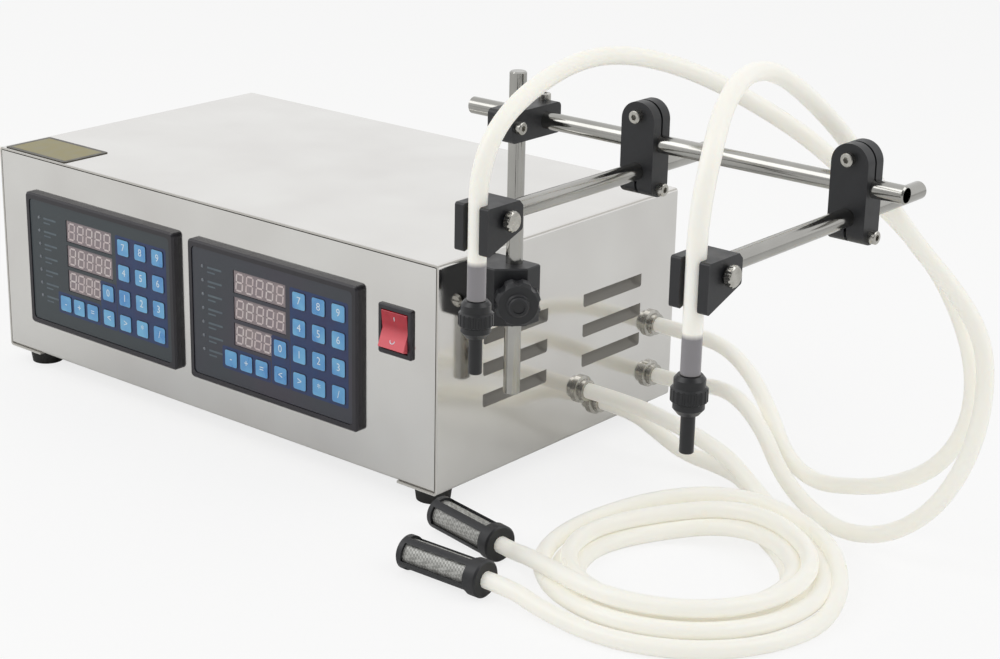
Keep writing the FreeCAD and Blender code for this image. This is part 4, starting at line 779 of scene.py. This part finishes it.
def legend_template(text: str, height: float, thickness: float) -> bpy.types.Mesh:
    """Make a printed character as a thin mesh about its own middle.

    Args:
        text: The character.
        height: Letter size in millimetres.
        thickness: Ink thickness in millimetres.

    Returns:
        The template mesh, in metres.
    """
    curve = bpy.data.curves.new("legend", type="FONT")
    curve.body = text
    curve.align_x = "CENTER"
    curve.align_y = "CENTER"
    curve.size = mm(height)
    curve.extrude = mm(thickness) / 2
    curve.resolution_u = 3
    holder = bpy.data.objects.new("legend", curve)
    mesh = bpy.data.meshes.new_from_object(holder)
    bpy.data.objects.remove(holder)
    bpy.data.curves.remove(curve)
    return mesh


class Side(Enum):
    """The two dosing controllers."""

    LEFT = "left"
    RIGHT = "right"


@dataclass
class ControllerFace:
    """Keys, legends, digits and printed fields on one dosing controller.

    Places on the face are (u, v) from the controller's middle, u to the right and v up.

    Attributes:
        side: Which controller it is.
        middle: X of the controller's middle.
        level: Height of its middle.
        key_size: Width and height of a key top.
        key_corner: Corner radius of a key top.
        key_rise: Thickness of a key top.
        key_back: Depth of the flat film behind the raised key fields.
        row_pitch: Spacing of the key rows and of the display windows.
        top_row: Height of the top row.
        left_column: First column of the left keys, which only the bottom row has.
        left_pitch: Spacing of the left keys.
        right_column: First column of the right keys.
        right_pitch: Spacing of the right keys.
        field_margins: What a key field falls short of its keys' pitch, across and up.
        field_corner: Corner radius of a key field.
        ink: Thickness of printed ink.
        legend_height: Letter size of a legend.
        legends: The keys' legends, row by row from the top.
        guide_lines: Middle, drop, length, width and corner radius of the lines by each lens.
        guide_rows: Number of lenses.
        guide_lift: Height of the top lens above the top row.
        guide_pitch: Spacing of the lenses.
        lens_column: Column of the lenses.
        lens_radius: Radius of a lens.
        lens_bulge: Height of a lens as a share of its radius.
        window_left: Left edge of the display windows.
        windows: Width of each window and its number of digits, from the top.
        bar: Length, width, corner radius and thickness of a digit's bar.
        reach: Half a digit's width, and a quarter of its height.
        lean: Slant of the digits in radians.
    """

    side: Side
    middle: float
    level: float = 83.1
    key_size: float = 10.6
    key_corner: float = 1.3
    key_rise: float = 0.12
    key_back: float = 0.4
    row_pitch: float = 17.35
    top_row: float = 26.7
    left_column: float = -35.6
    left_pitch: float = 13.8
    right_column: float = 8.7
    right_pitch: float = 16.6
    field_margins: tuple[float, float] = (0.6, 2.4)
    field_corner: float = 1.5
    ink: float = 0.04
    legend_height: float = 7.0
    legends: str = "789456" "0123" "-+=<>*/"
    guide_lines: tuple[tuple[float, ...], ...] = (
        (-49.5, 0.0, 13.0, 1.3, 0.4), (-52.5, 3.0, 7.0, 1.0, 0.3),
    )
    guide_rows: int = 7
    guide_lift: float = 4.0
    guide_pitch: float = 9.2
    lens_column: float = -60.5
    lens_radius: float = 1.2
    lens_bulge: float = 0.45
    window_left: float = -32.5
    windows: tuple[tuple[float, int], ...] = ((46.0, 5), (46.0, 5), (34.0, 4))
    bar: tuple[float, float, float, float] = (4.6, 1.15, 0.4, 0.06)
    reach: float = 2.75
    lean: float = 0.1

    def lying(self, u: float, v: float, front_m: float, lift: float) -> Matrix:
        """Place that turns a flat template to face -Y at a spot of the face.

        Args:
            u: Distance right of the controller's middle.
            v: Distance above it.
            front_m: Y of the surface it lies on, in metres.
            lift: Distance in front of that surface.

        Returns:
            The placing matrix.
        """
        spot = Vector((mm(self.middle + u), front_m - mm(lift), mm(self.level + v)))
        return Matrix.Translation(spot) @ Matrix.Rotation(math.pi / 2, 4, "X")

    def key_spots(self) -> list[tuple[float, float]]:
        """Find the middles of the keys, row by row from the top.

        Returns:
            Places on the face as (u, v).
        """
        left = [self.left_column + self.left_pitch * k for k in range(3)]
        right = [self.right_column + self.right_pitch * k for k in range(4)]
        rows = (right[1:], right[1:], right, left + right)
        return [
            (u, self.top_row - self.row_pitch * row) for row, us in enumerate(rows) for u in us
        ]

    def build(self) -> None:
        """Make all pieces of the face."""
        overlay = f"{self.side.value}_keypad_overlay"
        key_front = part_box(overlay)[0].y
        film_front = key_front + mm(self.key_back)
        display_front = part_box("controller_displays")[0].y
        self.build_keys(key_front)
        self.build_field(film_front)
        self.build_guides(film_front)
        self.build_digits(display_front)

    def build_keys(self, front_m: float) -> None:
        """Make the key tops with their legends.

        Args:
            front_m: Y of the raised key fields, in metres.
        """
        tops = bmesh.new()
        inks = bmesh.new()
        cap = plate_template(self.key_size, self.key_size, self.key_corner, self.key_rise)
        for (u, v), legend in zip(self.key_spots(), self.legends):
            add_copy(tops, cap, self.lying(u, v, front_m, 0.0))
            mark = legend_template(legend, self.legend_height, self.ink)
            add_copy(inks, mark, self.lying(u, v, front_m, self.key_rise + self.ink / 2))
            bpy.data.meshes.remove(mark)
        bpy.data.meshes.remove(cap)
        name = self.side.value
        finished_piece(f"{name}_key_tops", tops, KEY_TOP_FILM, "case")
        finished_piece(f"{name}_key_legends", inks, LEGEND_INK, "case")

    def build_field(self, front_m: float) -> None:
        """Print deep blue ink between and round the keys.

        Args:
            front_m: Y of the flat film, in metres.
        """
        field_shape = bmesh.new()
        rows = [self.top_row - row * self.row_pitch for row in range(4)]
        left_end = self.left_column + 2 * self.left_pitch
        right_end = self.right_column + 3 * self.right_pitch
        blocks = (
            (self.right_column + self.right_pitch, right_end, rows[0], rows[3]),
            (self.right_column, self.right_column, rows[2], rows[3]),
            (self.left_column, left_end, rows[3], rows[3]),
        )
        across, up = self.field_margins
        for first, last, top, bottom in blocks:
            wide = last - first + self.right_pitch - across
            tall = top - bottom + self.row_pitch - up
            sheet = plate_template(wide, tall, self.field_corner, self.ink)
            add_copy(
                field_shape, sheet, self.lying((first + last) / 2, (top + bottom) / 2, front_m, 0.0)
            )
            bpy.data.meshes.remove(sheet)
        finished_piece(
            f"{self.side.value}_key_field", field_shape, KEY_FIELD_INK, "case"
        )

    def build_guides(self, front_m: float) -> None:
        """Make the column of indicator lenses, with two plain printed lines beside each.

        Args:
            front_m: Y of the flat film, in metres.
        """
        lines = bmesh.new()
        lenses = bmesh.new()
        strips = [
            (u, drop, plate_template(length, width, corner, self.ink))
            for u, drop, length, width, corner in self.guide_lines
        ]
        flatten = Matrix.Diagonal((1.0, 1.0, self.lens_bulge, 1.0))
        for row in range(self.guide_rows):
            v = self.top_row + self.guide_lift - row * self.guide_pitch
            for u, drop, strip in strips:
                add_copy(lines, strip, self.lying(u, v - drop, front_m, 0.0))
            bmesh.ops.create_uvsphere(
                lenses, u_segments=12, v_segments=6, radius=mm(self.lens_radius),
                matrix=self.lying(self.lens_column, v, front_m, 0.0) @ flatten,
            )
        for _, _, strip in strips:
            bpy.data.meshes.remove(strip)
        name = self.side.value
        finished_piece(f"{name}_guide_lines", lines, GUIDE_INK, "case")
        finished_piece(
            f"{name}_indicator_lenses", lenses, INDICATOR_LENS, "case", smooth=True
        )

    def build_digits(self, front_m: float) -> None:
        """Make the unlit seven-bar digits in the three display windows.

        Args:
            front_m: Y of the displays' faces, in metres.
        """
        digits = bmesh.new()
        bar = plate_template(*self.bar)
        # share of a digit that a window's two ends leave free together
        spare = 0.15
        for row, (width, count) in enumerate(self.windows):
            pitch = width / (count + spare)
            v = self.top_row - row * self.row_pitch
            for number in range(count):
                u = self.window_left + pitch * (number + (1.0 + spare) / 2)
                self.add_digit(digits, bar, u, v, front_m)
        bpy.data.meshes.remove(bar)
        finished_piece(
            f"{self.side.value}_display_digits", digits, DISPLAY_SEGMENT, "case"
        )

    def add_digit(
        self, digits: bmesh.types.BMesh, bar: bpy.types.Mesh, u: float, v: float, front_m: float
    ) -> None:
        """Add the seven bars of one digit.

        Args:
            digits: Mesh that grows.
            bar: Template of one bar, lying along X.
            u: Middle of the digit, right of the controller's middle.
            v: Middle of the digit above it.
            front_m: Y of the display's face, in metres.
        """
        for level in (-2 * self.reach, 0.0, 2 * self.reach):
            add_copy(digits, bar, self.lying(u + level * self.lean, v + level, front_m, 0.0))
        upright = Matrix.Rotation(math.pi / 2 - self.lean, 4, "Z")
        for across in (-self.reach, self.reach):
            for level in (-self.reach, self.reach):
                spot = self.lying(u + across + level * self.lean, v + level, front_m, 0.0)
                add_copy(digits, bar, spot @ upright)


@dataclass
class RockerMarks:
    """Moulded on and off marks of the rocker, painted white.

    Attributes:
        axis_m: Middle of the rocker's axle, in metres.
        tilt_deg: Lean of the rocker at rest.
        front: Distance of the marks' middles in front of the axle.
        reach: Distance of their middles above and below it.
        lean: Angle of each half of the rocker's face, in radians.
        height: Letter size.
        thickness: Thickness of the marks.
    """

    axis_m: Point = (0.0365, -0.073625, 0.1075)
    tilt_deg: float = -8.0
    front: float = 4.9
    reach: float = 6.4
    lean: float = 0.36
    height: float = 5.5
    thickness: float = 0.3

    def build(self) -> None:
        """Make both marks on the rocker's face."""
        marks = bmesh.new()
        tilt = Matrix.Rotation(math.radians(self.tilt_deg), 4, "X")
        turn = Matrix.Translation(self.axis_m) @ tilt
        facing = Matrix.Rotation(math.pi / 2, 4, "X")
        for text, way in (("I", 1), ("O", -1)):
            mark = legend_template(text, self.height, self.thickness)
            spot = Matrix.Translation((0.0, mm(-self.front), mm(way * self.reach)))
            leaning = Matrix.Rotation(way * self.lean, 4, "X")
            add_copy(marks, mark, turn @ spot @ leaning @ facing)
            bpy.data.meshes.remove(mark)
        finished_piece("rocker_marks", marks, LEGEND_INK, "rocker")


# Hoses


def route_curve(name: str, points: Route, radius_m: float) -> bpy.types.Object:
    """Curve of one open smooth spline through a route's control points.

    Args:
        name: Name of the curve's object.
        points: Control points in metres.
        radius_m: Radius of its round section, 0 for a bare line.

    Returns:
        The curve's object, not yet linked to the scene.
    """
    curve = bpy.data.curves.new(name, type="CURVE")
    curve.dimensions = "3D"
    curve.resolution_u = 6
    curve.bevel_depth = radius_m
    curve.bevel_resolution = 4
    spline = curve.splines.new("NURBS")
    spline.points.add(len(points) - 1)
    for control, point in zip(spline.points, points):
        control.co = (*point, 1.0)
    spline.order_u = 3
    spline.use_endpoint_u = True
    return bpy.data.objects.new(name, curve)


def line_of(points: Route) -> list[Point]:
    """Read the smooth line of a route from its spline.

    Args:
        points: Control points in metres.

    Returns:
        Points along the line, in metres.
    """
    bare = route_curve("bare_route", points, 0.0)
    mesh = bpy.data.meshes.new_from_object(bare)
    line = [tuple(vertex.co) for vertex in mesh.vertices]
    bpy.data.meshes.remove(mesh)
    bpy.data.curves.remove(bare.data)
    return line


@dataclass
class DeliveryHose:
    """Hose from a nozzle over the rail and down to an outlet of the case.

    Attributes:
        name: Name of the piece.
        node: CAD solid that it replaces.
        finish: Its surface.
        route: Control points from the nozzle to the outlet, in metres.
        length_m: Real length; not used.
        radius: Outside radius.
        still_below_m: Height below which the hose stays with the case; not used.
        lifted_above_m: Height above which it moves with the stand; not used.
    """

    name: str
    node: str
    finish: Finish
    route: Route
    length_m: float
    radius: float = HOSE_RADIUS
    still_below_m: float = 0.045
    lifted_above_m: float = 0.16

    def build(self) -> None:
        curve = route_curve(self.name, self.route, mm(self.radius))
        mesh = bpy.data.meshes.new_from_object(curve)
        bpy.data.curves.remove(curve.data)
        mesh.materials.clear()
        mesh.materials.append(material_of(self.finish))
        mesh.shade_smooth()
        places = mesh.attributes.new(REST_PLACE, "FLOAT_VECTOR", "POINT")
        for vertex, place in zip(mesh.vertices, places.data):
            place.vector = vertex.co
        piece = bpy.data.objects.new(self.name, mesh)
        bpy.context.scene.collection.objects.link(piece)
        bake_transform(piece)
        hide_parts(self.node)
        line_of(self.route)
        LOG.info("hose %s: %d faces", self.name, len(mesh.polygons))


@dataclass(frozen=True)
class Coil:
    """Lanes of the loose coil on the floor, round which both suction hoses go clockwise.

    Attributes:
        middle_m: X and Y of the coil's middle, in metres.
        start_deg: Direction from there at which the count of turns starts.
        points_per_turn: Control points to a turn.
        oval: Share by which the coil is longer one way.
        oval_turn: Turn of that longer way in radians, doubled.
    """

    middle_m: tuple[float, float] = (0.2340, -0.0571)
    start_deg: float = 81.0
    points_per_turn: int = 16
    oval: float = 0.012
    oval_turn: float = 0.9

    def turns(self, lanes: Route, first: float, last: float) -> list[Point]:
        """Find the control points of one hose's turns.

        Args:
            lanes: Stops (turns from the start, radius, height) in millimetres, in order.
            first: Turn count of the first point.
            last: Turn count of the last point.

        Returns:
            Points in metres, a fixed number to each turn.
        """
        points = []
        count = round((last - first) * self.points_per_turn)
        # control points lie outside their curve, so that its radius comes out right
        bow = 1.0 / math.cos(math.pi / self.points_per_turn)
        for number in range(count + 1):
            turn = first + (last - first) * number / count
            before, after = self.stops_round(lanes, turn)
            # past the last stop both are the same one, and the span is kept above nothing
            span = max(after[0] - before[0], 1e-6)
            share = min(max((turn - before[0]) / span, 0.0), 1.0)
            share = share * share * (3.0 - 2.0 * share)
            radius = before[1] + (after[1] - before[1]) * share
            height = before[2] + (after[2] - before[2]) * share
            angle = math.radians(self.start_deg - 360.0 * turn)
            swell = 1.0 + self.oval * math.cos(2.0 * angle - self.oval_turn)
            reach = mm(radius * bow * swell)
            points.append(
                (
                    self.middle_m[0] + reach * math.cos(angle),
                    self.middle_m[1] + reach * math.sin(angle),
                    mm(height),
                )
            )
        return points

    @staticmethod
    def stops_round(lanes: Route, turn: float) -> tuple[Point, Point]:
        """Find the stops before and after a turn count.

        Args:
            lanes: Stops in order.
            turn: Turn count.

        Returns:
            The two stops, or the last one twice when the count is past it.
        """
        before = lanes[0]
        for after in lanes[1:]:
            if turn <= after[0]:
                return before, after
            before = after
        return before, before


@dataclass
class SuctionHose:
    """Hose from an inlet of the case, through the coil on the floor, to a strainer.

    Attributes:
        name: Name of the piece.
        nodes: CAD solids that it replaces.
        way_in: Control points from the inlet to the coil, in metres.
        lanes: Stops of the coil's turns as (turns, radius, height) in millimetres.
        limits: First and last turn count of the coil's points.
        way_out: Control points from the coil to the strainer, in metres.
        carried: CAD nodes on the hose's end; not used.
        length_m: Real length; not used.
        radius: Outside radius.
    """

    name: str
    nodes: tuple[str, ...]
    way_in: Route
    lanes: Route
    limits: tuple[float, float]
    way_out: Route
    carried: tuple[str, ...]
    length_m: float
    radius: float = HOSE_RADIUS

    def build(self) -> None:
        turns = Coil().turns(self.lanes, *self.limits)
        route = (*self.way_in, *turns, *self.way_out)
        piece = route_curve(self.name, route, mm(self.radius))
        piece.data.materials.append(material_of(HOSE_SILICONE))
        bpy.context.scene.collection.objects.link(piece)
        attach(piece, "case")
        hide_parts(*self.nodes)
        LOG.info("hose %s: %d control points", self.name, len(route))


LEFT_DELIVERY = DeliveryHose(
    "left_delivery_tube", "left_delivery_hose", LEFT_HOSE_SILICONE,
    (
        (0.1670, -0.1581, 0.1763), (0.1671, -0.1581, 0.2090), (0.1670, -0.1581, 0.2420),
        (0.1670, -0.1441, 0.2660), (0.1650, -0.1101, 0.2810), (0.1650, -0.0701, 0.2890),
        (0.1720, -0.0341, 0.2860), (0.1910, -0.0041, 0.2750), (0.2160, 0.0199, 0.2570),
        (0.2410, 0.0379, 0.2380), (0.2620, 0.0549, 0.2140), (0.2770, 0.0779, 0.1900),
        (0.2970, 0.0919, 0.1620), (0.3170, 0.0899, 0.1330), (0.3300, 0.0819, 0.1070),
        (0.3320, 0.0729, 0.0800), (0.3170, 0.0679, 0.0540), (0.2890, 0.0699, 0.0360),
        (0.2590, 0.0779, 0.0240), (0.2260, 0.0899, 0.0140), (0.1990, 0.1009, 0.0200),
        (0.1820, 0.1089, 0.0410), (0.1600, 0.1179, 0.0600), (0.1310, 0.1299, 0.0685),
        (0.1020, 0.1349, 0.0680), (0.0750, 0.1349, 0.0680),
    ),
    0.83,
)
RIGHT_DELIVERY = DeliveryHose(
    "right_delivery_tube", "right_delivery_hose", RIGHT_HOSE_SILICONE,
    (
        (0.3010, -0.1581, 0.1693), (0.3011, -0.1581, 0.2060), (0.3010, -0.1581, 0.2440),
        (0.2990, -0.1471, 0.2740), (0.2890, -0.1231, 0.2930), (0.2760, -0.0861, 0.3000),
        (0.2670, -0.0461, 0.2940), (0.2670, -0.0121, 0.2750), (0.2730, 0.0199, 0.2480),
        (0.2820, 0.0479, 0.2120), (0.2970, 0.0639, 0.1830), (0.3180, 0.0759, 0.1570),
        (0.3360, 0.0779, 0.1320), (0.3450, 0.0659, 0.1000), (0.3440, 0.0529, 0.0700),
        (0.3300, 0.0469, 0.0400), (0.3040, 0.0469, 0.0170), (0.2720, 0.0509, 0.0070),
        (0.2390, 0.0639, 0.0090), (0.2090, 0.0799, 0.0180), (0.1870, 0.0929, 0.0360),
        (0.1610, 0.1059, 0.0460), (0.1330, 0.1219, 0.0430), (0.1050, 0.1349, 0.0330),
        (0.0750, 0.1349, 0.0330),
    ),
    0.84,
)
UPPER_SUCTION = SuctionHose(
    "upper_suction_tube", ("upper_suction_hose", "hose_coil", "front_strainer_hose"),
    (
        (0.0750, 0.0619, 0.0420), (0.1050, 0.0619, 0.0420), (0.1370, 0.0559, 0.0420),
        (0.1670, 0.0479, 0.0410), (0.1950, 0.0439, 0.0350), (0.2200, 0.0360, 0.0240),
    ),
    (
        (0.0, 80.0, 12.0), (0.09, 71.0, 5.2), (0.2, 68.0, 5.1), (0.78, 68.0, 5.1),
        (1.0, 75.0, 17.0), (1.14, 77.0, 10.7), (1.72, 77.0, 10.7), (1.96, 81.0, 24.0),
        (2.06, 83.0, 20.0), (2.22, 87.0, 5.2), (2.6, 87.0, 5.1),
    ),
    (0.02, 2.47),
    ((0.1990, -0.1430, 0.0075), (0.1833, -0.1416, 0.0113), (0.1634, -0.1416, 0.0110)),
    ("front_strainer_cage", "strainer_meshes"),
    1.44,
)
LOWER_SUCTION = SuctionHose(
    "lower_suction_tube", ("lower_suction_hose", "hose_coil", "rear_strainer_hose"),
    (
        (0.0750, 0.0779, 0.0300), (0.0990, 0.0779, 0.0300), (0.1210, 0.0769, 0.0210),
        (0.1380, 0.0809, 0.0110), (0.1600, 0.0859, 0.0075), (0.1820, 0.0799, 0.0070),
        (0.2020, 0.0629, 0.0062), (0.2170, 0.0420, 0.0061), (0.2300, 0.0230, 0.0061),
    ),
    (
        (0.0, 67.0, 5.1), (0.12, 58.0, 5.1), (0.8, 57.5, 5.1), (1.0, 60.0, 14.8),
        (1.8, 62.8, 14.0), (2.0, 65.0, 24.0), (2.15, 69.0, 20.4), (2.44, 70.0, 20.2),
        (2.54, 75.0, 22.0), (2.62, 84.0, 17.5), (2.7, 88.0, 13.0),
    ),
    (0.04, 2.61),
    ((0.1527, -0.1040, 0.0112), (0.1400, -0.1012, 0.0110)),
    ("rear_strainer_cage",),
    1.27,
)


# Studio


@dataclass
class Studio:
    """Pale floor, soft light and the photograph's camera.

    Attributes:
        spot_m: Where the camera stands, in metres.
        azimuth_deg: Its direction round the machine, from the front to the machine's right.
        elevation_deg: Its direction above level.
        roll_deg: Its turn about its own axis.
        focal_px: Its focal length in the photograph's pixels.
        image_width_px: The photograph's width.
        sensor: Width of the camera's sensor.
        ambient: Strength of the surroundings' diffuse light.
        dim: Strength of what gloss mirrors on the camera's side of the room.
        dim_from: Where that starts, as a cosine from the camera's direction.
        dim_full: Where it is reached.
        floor_half_m: Half the floor's width, in metres.
        floor_glow: Share of plain white in the floor that the camera sees.
        aim_m: Point that the lamps face, in metres.
        boxes: Name, place in metres, size in metres and power in watts of each lamp.
    """

    spot_m: Point = (0.8410, -0.9558, 0.5193)
    azimuth_deg: float = 39.512
    elevation_deg: float = 18.976
    roll_deg: float = 1.156
    focal_px: float = 2145.709
    image_width_px: float = 1000.0
    sensor: float = 36.0
    ambient: float = 0.62
    dim: float = 0.24
    dim_from: float = 0.1
    dim_full: float = 0.75
    floor_half_m: float = 8.0
    floor_glow: float = 0.78
    aim_m: Point = (0.05, 0.0, 0.08)
    boxes: tuple[tuple[str, Point, float, float], ...] = (
        ("key_box", (-0.9, -1.3, 1.7), 1.4, 11.0),
        ("fill_box", (1.5, 0.5, 1.5), 1.2, 7.0),
    )

    def build(self) -> None:
        """Set up everything that isn't the object."""
        scene = bpy.context.scene
        scene.view_settings.view_transform = "Standard"
        self.build_camera(scene)
        self.build_world(scene)
        self.build_floor(scene)
        self.build_lamps(scene)

    def build_camera(self, scene: bpy.types.Scene) -> None:
        """Put the camera at the photograph's viewpoint.

        Args:
            scene: Scene that gets it.
        """
        azimuth, elevation = math.radians(self.azimuth_deg), math.radians(self.elevation_deg)
        back = Vector(
            (
                math.sin(azimuth) * math.cos(elevation),
                -math.cos(azimuth) * math.cos(elevation),
                math.sin(elevation),
            )
        )
        right = (-back).cross(Vector((0.0, 0.0, 1.0))).normalized()
        up = right.cross(-back)
        roll = math.radians(self.roll_deg)
        turned_right = right * math.cos(roll) + up * math.sin(roll)
        turned_up = up * math.cos(roll) - right * math.sin(roll)
        lens = bpy.data.cameras.new("photo_camera")
        lens.sensor_fit = "HORIZONTAL"
        lens.sensor_width = self.sensor
        lens.lens = self.focal_px / self.image_width_px * self.sensor
        lens.clip_start = 0.02
        lens.clip_end = 60.0
        camera = bpy.data.objects.new("photo_camera", lens)
        turn = Matrix((turned_right, turned_up, back)).transposed().to_4x4()
        camera.matrix_world = Matrix.Translation(self.spot_m) @ turn
        scene.collection.objects.link(camera)
        scene.camera = camera

    def build_world(self, scene: bpy.types.Scene) -> None:
        """Make white surroundings, plain for diffuse light and darker behind the camera for gloss.

        Args:
            scene: Scene that gets them.
        """
        world = bpy.data.worlds.new("white_studio")
        world.use_nodes = True
        tree = world.node_tree
        tree.nodes.clear()
        rays = add_node(tree, "LightPath")
        seen = add_node(
            tree,
            "Math",
            {0: rays.outputs["Is Camera Ray"], 1: rays.outputs["Is Transmission Ray"]},
            operation="MAXIMUM",
        )
        way = add_node(tree, "TexCoord").outputs["Generated"]
        azimuth = math.radians(self.azimuth_deg)
        facing = add_node(
            tree,
            "VectorMath",
            {0: way, 1: (math.sin(azimuth), -math.cos(azimuth), -0.1)},
            operation="DOT_PRODUCT",
        )
        gloss = add_node(
            tree,
            "MapRange",
            {"Value": facing.outputs["Value"], "From Min": self.dim_from,
             "From Max": self.dim_full, "To Min": 1.0, "To Max": self.dim},
        )
        plain, white, mirror = [
            add_node(tree, "Background", {"Color": WHITE, "Strength": strength})
            for strength in (self.ambient, 1.0, gloss.outputs[0])
        ]
        glossy = add_node(
            tree, "MixShader",
            {0: rays.outputs["Is Glossy Ray"], 1: plain.outputs[0], 2: mirror.outputs[0]},
        )
        shown = add_node(
            tree, "MixShader", {0: seen.outputs[0], 1: glossy.outputs[0], 2: white.outputs[0]}
        )
        add_node(tree, "OutputWorld", {"Surface": shown.outputs[0]})
        scene.world = world

    def build_floor(self, scene: bpy.types.Scene) -> None:
        """Lay a white floor that keeps the object's shadow.

        Args:
            scene: Scene that gets it.
        """
        shape = bmesh.new()
        bmesh.ops.create_grid(shape, x_segments=1, y_segments=1, size=self.floor_half_m)
        mesh = bpy.data.meshes.new("studio_floor")
        shape.to_mesh(mesh)
        shape.free()
        material = bpy.data.materials.new("white_floor")
        material.use_nodes = True
        tree = material.node_tree
        tree.nodes.clear()
        rays = add_node(tree, "LightPath")
        paint = add_node(tree, "BsdfDiffuse", {"Color": linear("#f8f8f7")})
        glow = add_node(tree, "Emission", {"Color": WHITE, "Strength": 1.0})
        share = add_node(
            tree, "Math", {0: rays.outputs["Is Camera Ray"], 1: self.floor_glow},
            operation="MULTIPLY",
        )
        mix = add_node(
            tree, "MixShader", {0: share.outputs[0], 1: paint.outputs[0], 2: glow.outputs[0]}
        )
        add_node(tree, "OutputMaterial", {"Surface": mix.outputs[0]})
        mesh.materials.append(material)
        floor = bpy.data.objects.new("studio_floor", mesh)
        scene.collection.objects.link(floor)

    def build_lamps(self, scene: bpy.types.Scene) -> None:
        """Hang two large soft boxes: one high at the left, a weaker one at the right.

        Args:
            scene: Scene that gets them.
        """
        for name, spot, size, power in self.boxes:
            lamp = bpy.data.lights.new(name, type="AREA")
            lamp.size = size
            lamp.energy = power
            holder = bpy.data.objects.new(name, lamp)
            holder.location = spot
            aim = Vector(self.aim_m) - Vector(spot)
            holder.rotation_euler = aim.to_track_quat("-Z", "Y").to_euler()
            scene.collection.objects.link(holder)


def main() -> None:
    """Build the studio, the finishes, the controllers' faces and the hoses."""
    logging.basicConfig(level=logging.INFO, format="%(message)s")
    Studio().build()
    dress_frame()
    ControllerFace(Side.LEFT, -226.5).build()
    ControllerFace(Side.RIGHT, -65.2).build()
    RockerMarks().build()
    for hose in (LEFT_DELIVERY, RIGHT_DELIVERY, UPPER_SUCTION, LOWER_SUCTION):
        hose.build()


if __name__ == "__main__":
    main()
